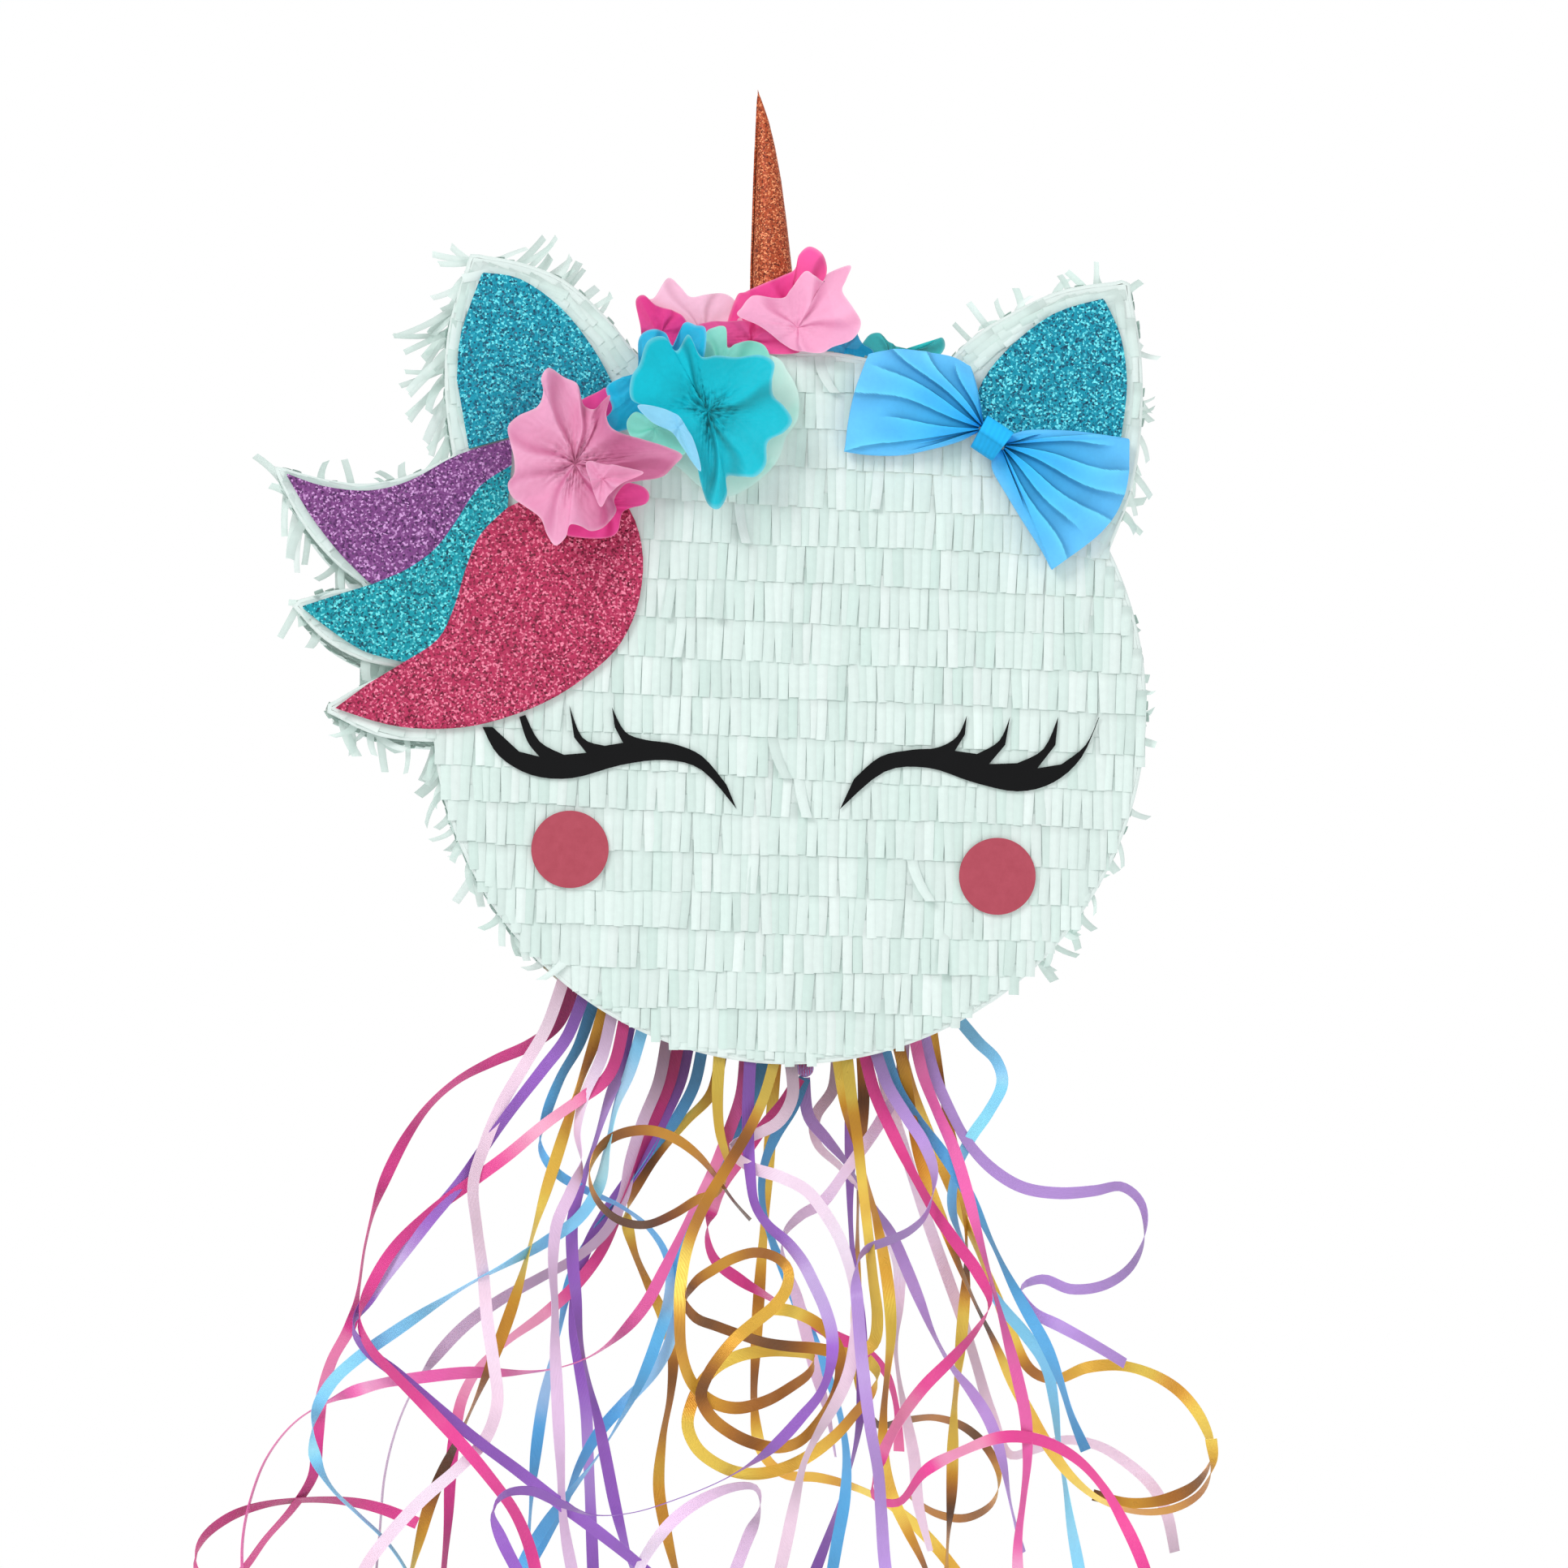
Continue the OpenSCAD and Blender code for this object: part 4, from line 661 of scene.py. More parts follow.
def strips(name, top, down, out, length, width, lift, aside, body, stands_for, shade, stand=0.7,
           mat=tissue_mat):
    """Strips of tissue: each hangs from its top point along down, stands off along out, and
    drifts aside and up at its free end. Their colour has painted shade: darker near the top, where
    the row above hangs over it, and along one edge."""
    m = len(top)
    t = np.linspace(0, 1, SEG + 1)[None, :, None, None]
    c = np.array([-0.5, 0, 0.5])[None, None, :, None]
    four = lambda v: np.asarray(v, float).reshape(m, 1, 1, -1)
    across = unit(np.cross(down, out))
    twist = rng.normal(0, 0.09, m)
    w = four(width) * (1 - 0.10 * t)
    layer = four(rng.uniform(0, 0.25, m))
    off = (0.1 + layer + stand * t + four(lift) * t ** 2 + 0.15 * (1 - (2 * c) ** 2)
           + c * four(twist) * w * t)
    verts = (four(top) + four(down) * four(length) * t + four(out) * off
             + four(across) * (c * w + four(aside) * t ** 2))
    one = np.array(grid_faces(SEG + 1, COLS))
    faces = (one[None] + (np.arange(m) * (SEG + 1) * COLS)[:, None, None]).reshape(-1, 4)
    mix = np.clip(rng.normal(0.5, 0.25, m), 0, 1)
    tone = WHITE + (GREEN - WHITE) * mix[:, None]
    # Painted shade across and along each strip: one edge darker, and a darker band near the top.
    edges = np.where(c < -0.1, 0.90, np.where(c > 0.1, 0.99, 1.0))
    dim = four(shade) * (0.86 + 0.14 * ease((t - 0.18) / 0.22)) * edges
    tint = dim * tone[:, None, None, :]
    make(name, verts.reshape(-1, 3), faces.tolist(), mat, body, stands_for, "tissue_white",
         tint=np.clip(tint, 0, 1).reshape(-1, 3))


def zones(nodes, grow):
    """Boxes in X and Z round nodes, grown on every side."""
    boxes = [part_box(n) for n in nodes]
    return [(lo.x / MM - grow, lo.z / MM - grow, hi.x / MM + grow, hi.z / MM + grow) for lo, hi in boxes]


def in_zones(x, z, boxes):
    hit = np.zeros(len(x), bool)
    for x0, z0, x1, z1 in boxes:
        hit |= (x > x0) & (x < x1) & (z > z0) & (z < z1)
    return hit


FLAT_UNDER = ["left_ear_foam", "right_ear_foam", "mane_purple_foam", "mane_aqua_foam",
              "mane_pink_foam", "left_eyelash", "right_eyelash", "left_cheek", "right_cheek"]


QUIET_EDGE = 13.0                               # no loose strips this close to the nodes on top
SPOTS = 10                                      # places along a strip that are tried against the outline
CHIN_Z = -HEAD_R - 100                          # below this some strips hang over the edge


def panel_fringe(name, loops, y, facing, body, stands_for, quiet, overhang, slope, smooth_lobes=False):
    """Rows of strips over a flat panel; facing is -1 to the front and 1 to the back. With
    smooth_lobes they cover the round head only, and lobe_strips covers the ears and the mane."""
    top, length = [], []
    for k in ROWS:
        tilt = math.radians(slope + rng.normal(0, 0.3))
        jog = rng.normal(0, 0.35)
        x = np.arange(*ROW_ENDS, STRIP_W) + rng.uniform(0, STRIP_W)
        x = x + rng.normal(0, 0.25, len(x))
        wave = 0.7 * np.sin(x / 38 + k * 1.7)
        foot = ROWS_FROM - PITCH * k + jog - math.tan(tilt) * x + wave + rng.normal(0, 0.28, len(x))
        full = STRIP_L + rng.normal(0, 0.8, len(x))
        samples = np.linspace(0, 1, SPOTS)
        sx = np.repeat(x, SPOTS)
        sz = (foot[:, None] + full[:, None] * (1 - samples)[None]).ravel()
        deep = inside_by(np.stack([sx, sz], 1), loops)
        if smooth_lobes:
            deep = np.minimum(deep, HEAD_R + 3 - np.hypot(sx, sz + HEAD_R))
        deep = deep.reshape(len(x), SPOTS)
        for i in range(len(x)):
            ok = deep[i] > 0.6
            if ok.sum() < 2:
                continue
            a = samples[ok.argmax()]
            over = rng.uniform(0.3, 1.0) * overhang if overhang else -0.6
            if overhang and foot[i] < CHIN_Z and rng.random() < 0.3:
                over = rng.uniform(1.5, 6.5)
            hang = (deep[i] > -over) & (samples >= a)
            b = samples[SPOTS - 1 - hang[::-1].argmax()]
            if (b - a) * full[i] < 4:
                continue
            top.append((x[i], y, foot[i] + full[i] * (1 - a)))
            length.append((b - a) * full[i])
    top, length = np.array(top), np.array(length)
    m = len(top)
    lean = np.radians(slope) * 0.8 + rng.normal(0, 0.025, m)
    down = np.stack([-np.sin(lean), np.zeros(m), -np.cos(lean)], 1)
    out = np.tile([0.0, float(facing), 0.0], (m, 1))
    still = in_zones(top[:, 0], top[:, 2] - length / 2, zones(quiet, QUIET_EDGE))
    loose = (rng.random(m) < 0.022) & ~still & (body == "root")
    lift = np.where(loose, rng.uniform(1.0, 4.0, m), rng.uniform(0, 0.2, m))
    aside = np.where(loose, rng.normal(0, 4.5, m), rng.normal(0, 0.25, m))
    if body != "root":
        aside *= 0
    strips(name, top, down, out, length, rng.normal(STRIP_W * 1.12, 0.3, m), lift, aside, body,
           stands_for, rng.normal(0.97, 0.022, m), 0.6)


def backing(name, loops, y, body, stands_for):
    """The pasted sheet under a panel's strips."""
    bm = bmesh.new()
    edges = []
    for line in loops:
        vs = [bm.verts.new((x * MM, y * MM, z * MM)) for x, z in line]
        edges += [bm.edges.new((vs[i], vs[(i + 1) % len(vs)])) for i in range(len(vs))]
    bmesh.ops.triangle_fill(bm, use_beauty=True, use_dissolve=False, edges=edges)
    bm.verts.index_update()
    verts = [(x, y, z) for line in loops for x, z in line]
    make(name, verts, [[v.index for v in f.verts] for f in bm.faces], pasted_mat, body, stands_for,
         "tissue_white", smooth=False, tint=np.tile(WHITE * 0.94, (len(verts), 1)))
    bm.free()


HALF = 45.0                                     # half the depth between the panels' faces
front_loops = outline_of("front_panel", -HALF)
back_loops = outline_of("back_panel", HALF)
flap_loops = outline_of("fill_flap", HALF)
backing("face_paper", front_loops, -HALF - 0.15, "root", ["face_fringe"])
backing("back_paper", back_loops, HALF + 0.15, "root", ["back_fringe"])
backing("flap_paper", flap_loops, HALF + 0.15, "flap", ["fill_flap_fringe"])
panel_fringe("face_strips", front_loops, -HALF - 0.3, -1, "root", ["face_fringe"], FLAT_UNDER, 1.6, 2.0,
             smooth_lobes=True)
panel_fringe("back_strips", back_loops, HALF + 0.3, 1, "root", ["back_fringe"], ["fill_flap_tape"],
             0.0, -1.2)
panel_fringe("flap_strips", flap_loops, HALF + 0.3, 1, "flap", ["fill_flap_fringe"], [], 0.0, -1.2)


def grown(line, d):
    """A closed border line moved outwards by d."""
    turn = (np.roll(line, -1, 0) - line)[:, 0] * (np.roll(line, -1, 0) + line)[:, 1]
    side = 1 if turn.sum() > 0 else -1
    step = unit(np.roll(line, -1, 0) - line)
    left = side * np.stack([-step[:, 1], step[:, 0]], 1)
    both = left + np.roll(left, 1, 0)
    return line + d * both / np.maximum(1 + (left * np.roll(left, 1, 0)).sum(1, keepdims=True), 0.5)


EYELET_CLEAR = 9.0                              # no tissue this close to the eyelet's middle


def on_chin(x, z):
    """Whether a point lies on the bare stretch of rim over the trap door and the ribbon tapes."""
    angle = np.degrees(np.arctan2(x, z + HEAD_R)) % 360
    return (np.abs(np.hypot(x, z + HEAD_R) - HEAD_R) < 2.5) & (angle > 146) & (angle < 223)


# The paper under the rim's strips, rolled over both edges: depth and how far out it stands
RIM_PAPER = [(-45.25, 0.0), (-45.1, 1.0), (-44.5, 1.7), (-43.4, 2.0), (-42.3, 1.7), (-41.5, 0.3),
             (-12, 0.3), (12, 0.3),
             (41.5, 0.3), (42.3, 1.7), (43.4, 2.0), (44.5, 1.7), (45.1, 1.0), (45.25, 0.0)]
CHIN_GAP, EYELET_GAP = range(2, 11), 6          # its bands that leave out the chin and the eyelet


def rim_paper(line):
    fine, _ = catmull(np.vstack([line, line[:1]]), 3.0)
    fine = fine[:-1]
    n = len(fine)
    rings = [grown(fine, out) for _, out in RIM_PAPER]
    verts = [(x, y, z) for (y, _), ring in zip(RIM_PAPER, rings) for x, z in ring]
    chin = on_chin(fine[:, 0], fine[:, 1])
    faces = []
    for row in range(len(rings) - 1):
        for c in range(n):
            d = (c + 1) % n
            open_chin = (chin[c] or chin[d]) and row in CHIN_GAP
            open_eyelet = row == EYELET_GAP and math.hypot(*fine[c]) < EYELET_CLEAR
            if not open_chin and not open_eyelet:
                faces.append((row * n + c, row * n + d, (row + 1) * n + d, (row + 1) * n + c))
    make("rim_paper", verts, faces, pasted_mat, "root", ["rim_fringe"], "tissue_white",
         tint=np.tile(WHITE * 0.94, (len(verts), 1)))


def rim_places(line, step):
    """Points about one step apart along a closed line, with the outward normal and tangent at each."""
    closed = np.vstack([line, line[:1]])
    run = np.r_[0, np.cumsum(np.linalg.norm(np.diff(closed, axis=0), axis=1))]
    s = (np.arange(0, run[-1] - step, step) + rng.uniform(0, step)) % run[-1]
    at = lambda q: np.stack([np.interp(q % run[-1], run, closed[:, i]) for i in (0, 1)], 1)
    tan = unit(at(s + 3) - at(s - 3))
    normal = np.stack([-tan[:, 1], tan[:, 0]], 1)
    normal[inside_by(at(s) + normal * 1.5, [line]) > 0] *= -1
    return at(s), normal, tan


RIM_ROWS = [(42.0, 20), (26.0, 20), (9.0, 20), (-8.0, 20), (-25.0, 18)]   # depth and strip length
RIM_FRONT = 42.8                                # the front row ends this far from the middle


def rim_strips():
    top, down, out, length = [], [], [], []
    for y_at, long in RIM_ROWS:
        for (x, z), (nx, nz), _ in zip(*rim_places(front_loops[0], STRIP_W)):
            if on_chin(x, z) or math.hypot(x, z) < EYELET_CLEAR and abs(y_at) < 30:
                continue
            tilt = abs(rng.normal(0.03, 0.04))
            d = unit(np.array([nx * math.sin(tilt), -math.cos(tilt), nz * math.sin(tilt)]))
            n = np.array([nx, 0.0, nz])
            top.append((x + nx * 0.35, y_at, z + nz * 0.35))
            down.append(d)
            out.append(unit(n - (n @ d) * d))
            full = long + rng.normal(0, 0.8)
            length.append(min(full, y_at + RIM_FRONT) if y_at < 0 else full)
    m = len(top)
    strips("rim_strips", np.array(top), np.array(down), np.array(out), np.array(length),
           np.full(m, STRIP_W * 1.05), rng.uniform(0, 0.25, m), rng.normal(0, 0.3, m), "root",
           ["rim_fringe"], rng.normal(0.98, 0.03, m), 0.45)


# Bunches of loose strips that stand out from the rim: X, Z, reach, number, length, and the way they
# point in X and Z
BUNCHES = [
    (-157, 40, 12, 7, 20, (-0.7, -0.7)), (-166, 18, 10, 9, 30, (-0.7, -0.75)),
    (-167, -6, 9, 8, 26, (-0.6, -0.8)), (-168, -32, 10, 7, 24, (-0.45, -0.9)),
    (-136, 44, 20, 6, 20, (0.95, 0.25)), (-108, 30, 16, 7, 14, (0.8, 0.5)),
    (-238, -64, 14, 4, 14, (-0.3, 0.9)), (-205, -66, 16, 4, 15, (-0.3, 0.9)),
    (-246, -78, 13, 8, 26, (-0.15, -1)), (-215, -108, 14, 5, 14, (-0.1, -1)),
    (-232, -130, 12, 6, 16, (0.1, -1)), (-202, -154, 12, 6, 14, (-0.5, -0.8)),
    (-200, -188, 22, 9, 17, (0.1, -1)), (-172, -206, 14, 7, 18, (-0.5, -0.8)),
    (-160, -250, 24, 9, 14, (-0.3, -1)), (-136, -292, 22, 8, 12, (-0.3, -1)),
    (-108, -318, 18, 7, 11, (-0.3, -1)), (104, 22, 18, 6, 15, (-0.6, 0.8)),
    (140, 36, 20, 5, 12, (-0.6, 0.8)), (170, 24, 16, 4, 12, (0.8, 0.3)),
    (172, -20, 26, 7, 16, (0.5, -0.85)), (168, -72, 22, 6, 14, (0.5, -0.85)),
    (176, -170, 50, 7, 8, (0.6, -0.8)), (164, -258, 36, 8, 11, (0.5, -0.85)),
    (132, -296, 28, 8, 13, (0.4, -0.9))]
wisp_mat = tissue("tissue_wisp", alpha=0.86)


def rim_wisps():
    """The bunches: every strip leans its own way and twists a little."""
    places, normals, _ = rim_places(front_loops[0], 2.2)
    top, down, out, length, width = [], [], [], [], []
    for x, z, reach, number, long, way in BUNCHES:
        near = np.flatnonzero(np.hypot(places[:, 0] - x, places[:, 1] - z) < reach)
        for i in rng.choice(near, min(number, len(near)), replace=False):
            if on_chin(*places[i]):
                continue
            n = normals[i]
            y_at = rng.uniform(-42, -8)
            d = unit(np.array([way[0], 0, way[1]]) + rng.normal(0, 0.30, 3)
                     + np.array([n[0], -0.5, n[1]]) * 0.22)
            if d[0] * n[0] + d[2] * n[1] < 0.1:
                d = unit(d + 0.7 * np.array([n[0], 0, n[1]]))
            o = np.array([n[0] * 0.3, -1.0, n[1] * 0.3]) + rng.normal(0, 0.25, 3)
            top.append((places[i][0] + n[0] * 0.8, y_at, places[i][1] + n[1] * 0.8))
            down.append(d)
            out.append(unit(o - (o @ d) * d))
            length.append(long * rng.uniform(0.45, 1.3))
            width.append(rng.uniform(2.6, 5.6))
    m = len(top)
    strips("rim_wisps", np.array(top), np.array(down), np.array(out), np.array(length),
           np.array(width), rng.uniform(-4, 5, m), rng.normal(0, 4.0, m), "root", ["rim_fringe"],
           np.where(np.array(top)[:, 0] > 60, 1.05, 0.94) + rng.normal(0, 0.04, m), mat=wisp_mat)


def lobe_strips():
    """Long strips pasted flat along the edges of the ears and the mane."""
    top, down, length = [], [], []
    for inset in (2.0, 5.5, 9.0):
        for (x, z), (nx, nz), (tx, tz) in zip(*rim_places(front_loops[0], 3.6)):
            if math.hypot(x, z + HEAD_R) < HEAD_R + 4 or rng.random() < 0.35:
                continue
            flow = -1 if tz > 0 else 1
            d = unit(np.array([flow * tx - 0.10 * nx, 0.0, flow * tz - 0.10 * nz])
                     + rng.normal(0, 0.07, 3) * (1, 0, 1))
            top.append((x - nx * inset - d[0] * 10, -HALF - 0.3, z - nz * inset - d[2] * 10))
            down.append(d)
            length.append(rng.uniform(16, 25))
    top, down, length = np.array(top), np.array(down), np.array(length)
    ends = inside_by((top + down * length[:, None])[:, ::2], front_loops)
    keep = (inside_by(top[:, ::2], front_loops) > 0.8) & (ends > -2.0)
    top, down, length = top[keep], down[keep], length[keep]
    m = len(top)
    strips("lobe_strips", top, down, np.tile([0.0, -1.0, 0.0], (m, 1)), length,
           rng.normal(STRIP_W, 0.3, m), rng.uniform(0, 0.15, m), rng.normal(0, 0.3, m), "root",
           ["face_fringe"], rng.normal(0.98, 0.02, m), 0.4)


lobe_strips()
rim_paper(front_loops[0])
rim_strips()
rim_wisps()


# ---- tissue flowers: sheets of tissue with scalloped edges, pinched at the middle ----

def sheet(name, node, slot, centre, border, back, front, light, deep, seed, folds, waves=3,
          crumple=1.0, mat=None, wave=0.19, dusk=0.0):
    """A sheet between two depths, cut to a border, rising from its pinched centre to a wavy edge, with
    folds given as direction in degrees, spread in degrees and height. Its colour goes from light to
    deep with painted shade: darker just before each fold's crest, in the crumpled middle and, if asked,
    towards the right; lighter just past a crest and on raised waves; paler at the very edge."""
    draw = np.random.default_rng(seed)
    edge, _ = catmull(border, 0.9, closed=True)
    d = edge[:-1] - np.array(centre)
    th = np.arctan2(d[:, 1], d[:, 0])[None]
    rho = (np.linspace(0.0005, 1, 30) ** 0.85)[:, None]
    p = draw.uniform(0, TAU, 9)
    wavy = (np.sin(waves * th + p[0] + 1.1 * rho) + 0.6 * np.sin((waves + 2) * th + p[1] - 1.4 * rho)
            + 0.22 * np.sin((2 * waves + 5) * th + p[2] + 2 * rho))
    high = 0.34 * rho ** 0.7 + wave * rho ** 1.3 * wavy + 0.14
    low = 0 * high
    for angle, spread, rise in folds:
        a = (th - math.radians(angle) - 0.10 * np.sin(5 * rho + angle) + math.pi) % TAU - math.pi
        a = a / math.radians(spread)
        crest = np.exp(-np.maximum(a, 0) ** 2 * 0.8) * (a >= 0) + np.exp(-(a * 3.2) ** 2) * (a < 0)
        high += rise * crest * rho ** 0.45
        # Painted shade and highlight at each fold: darker just before its crest, lighter just past it.
        low += 0.75 * np.exp(-((a + 0.42) / 0.30) ** 2) * (1 - 0.55 * rho) * (rho > 0.04)
        low -= 0.22 * np.exp(-((a - 0.15) / 0.35) ** 2) * rho ** 0.5
    x, z = centre[0] + d[:, 0] * rho, centre[1] + d[:, 1] * rho
    kink = (np.sin(1.1 * x + 1.7 * np.sin(0.55 * z + p[3]) + p[4])
            * np.sin(0.95 * z + 1.5 * np.sin(0.5 * x) + p[5])
            + 0.6 * np.sin(1.9 * (x + z) + p[6]) * np.sin(2.1 * (x - z) + p[7]))
    middle = np.exp(-(rho / 0.30) ** 2)
    soft = np.sin(0.16 * x + p[8]) * np.sin(0.19 * z + p[3])
    high += crumple * 0.10 * kink * middle + 0.012 * kink
    y = -(back + (front - back) * np.clip(high, 0, 1))
    # Painted light: the deep colour mixes in at the folds and the crumpled middle, less on raised waves, and
    # more towards the right of the centre by the given amount; soft adds a broad random tone.
    shade = np.clip(0.10 + low + crumple * middle * (0.25 - 0.35 * kink) - 0.07 * wavy * rho + 0.10 * soft
                    + dusk * ease((x - centre[0] + 2) / 24), 0, 1)
    tint = np.array(light[:3]) + (np.array(deep[:3]) - np.array(light[:3])) * shade[..., None]
    rim = np.clip((rho - 0.955) / 0.045, 0, 1)[..., None]
    tint = tint + (1 - tint) * 0.16 * rim
    k, m = x.shape
    make(name, np.stack([x, y, z], -1).reshape(-1, 3), grid_faces(k, m, loop=True), mat or flower_mat,
         "root", [node], slot, tint=tint.reshape(-1, 3))


flower_mat = tissue("tissue_flower", 180, 0.0003, 0.6, 0.97)
thin_mat = tissue("tissue_thin", 180, 0.0003, 0.6, 0.80)
# Light and deep colours of the tissues; the deep ones are mixed in as painted shade.
LIGHT_PINK, MID_PINK, SHADED_PINK = srgb(230, 158, 192), srgb(190, 100, 142), srgb(206, 118, 158)
HOT_PINK, DEEP_HOT = srgb(245, 78, 160), srgb(205, 40, 118)
AQUA, DEEP_AQUA = srgb(0, 184, 203), srgb(6, 118, 128)
SKY, MINT, PALE_MINT = srgb(20, 182, 222), srgb(140, 222, 204), srgb(206, 240, 228)
ICE = srgb(140, 206, 236)
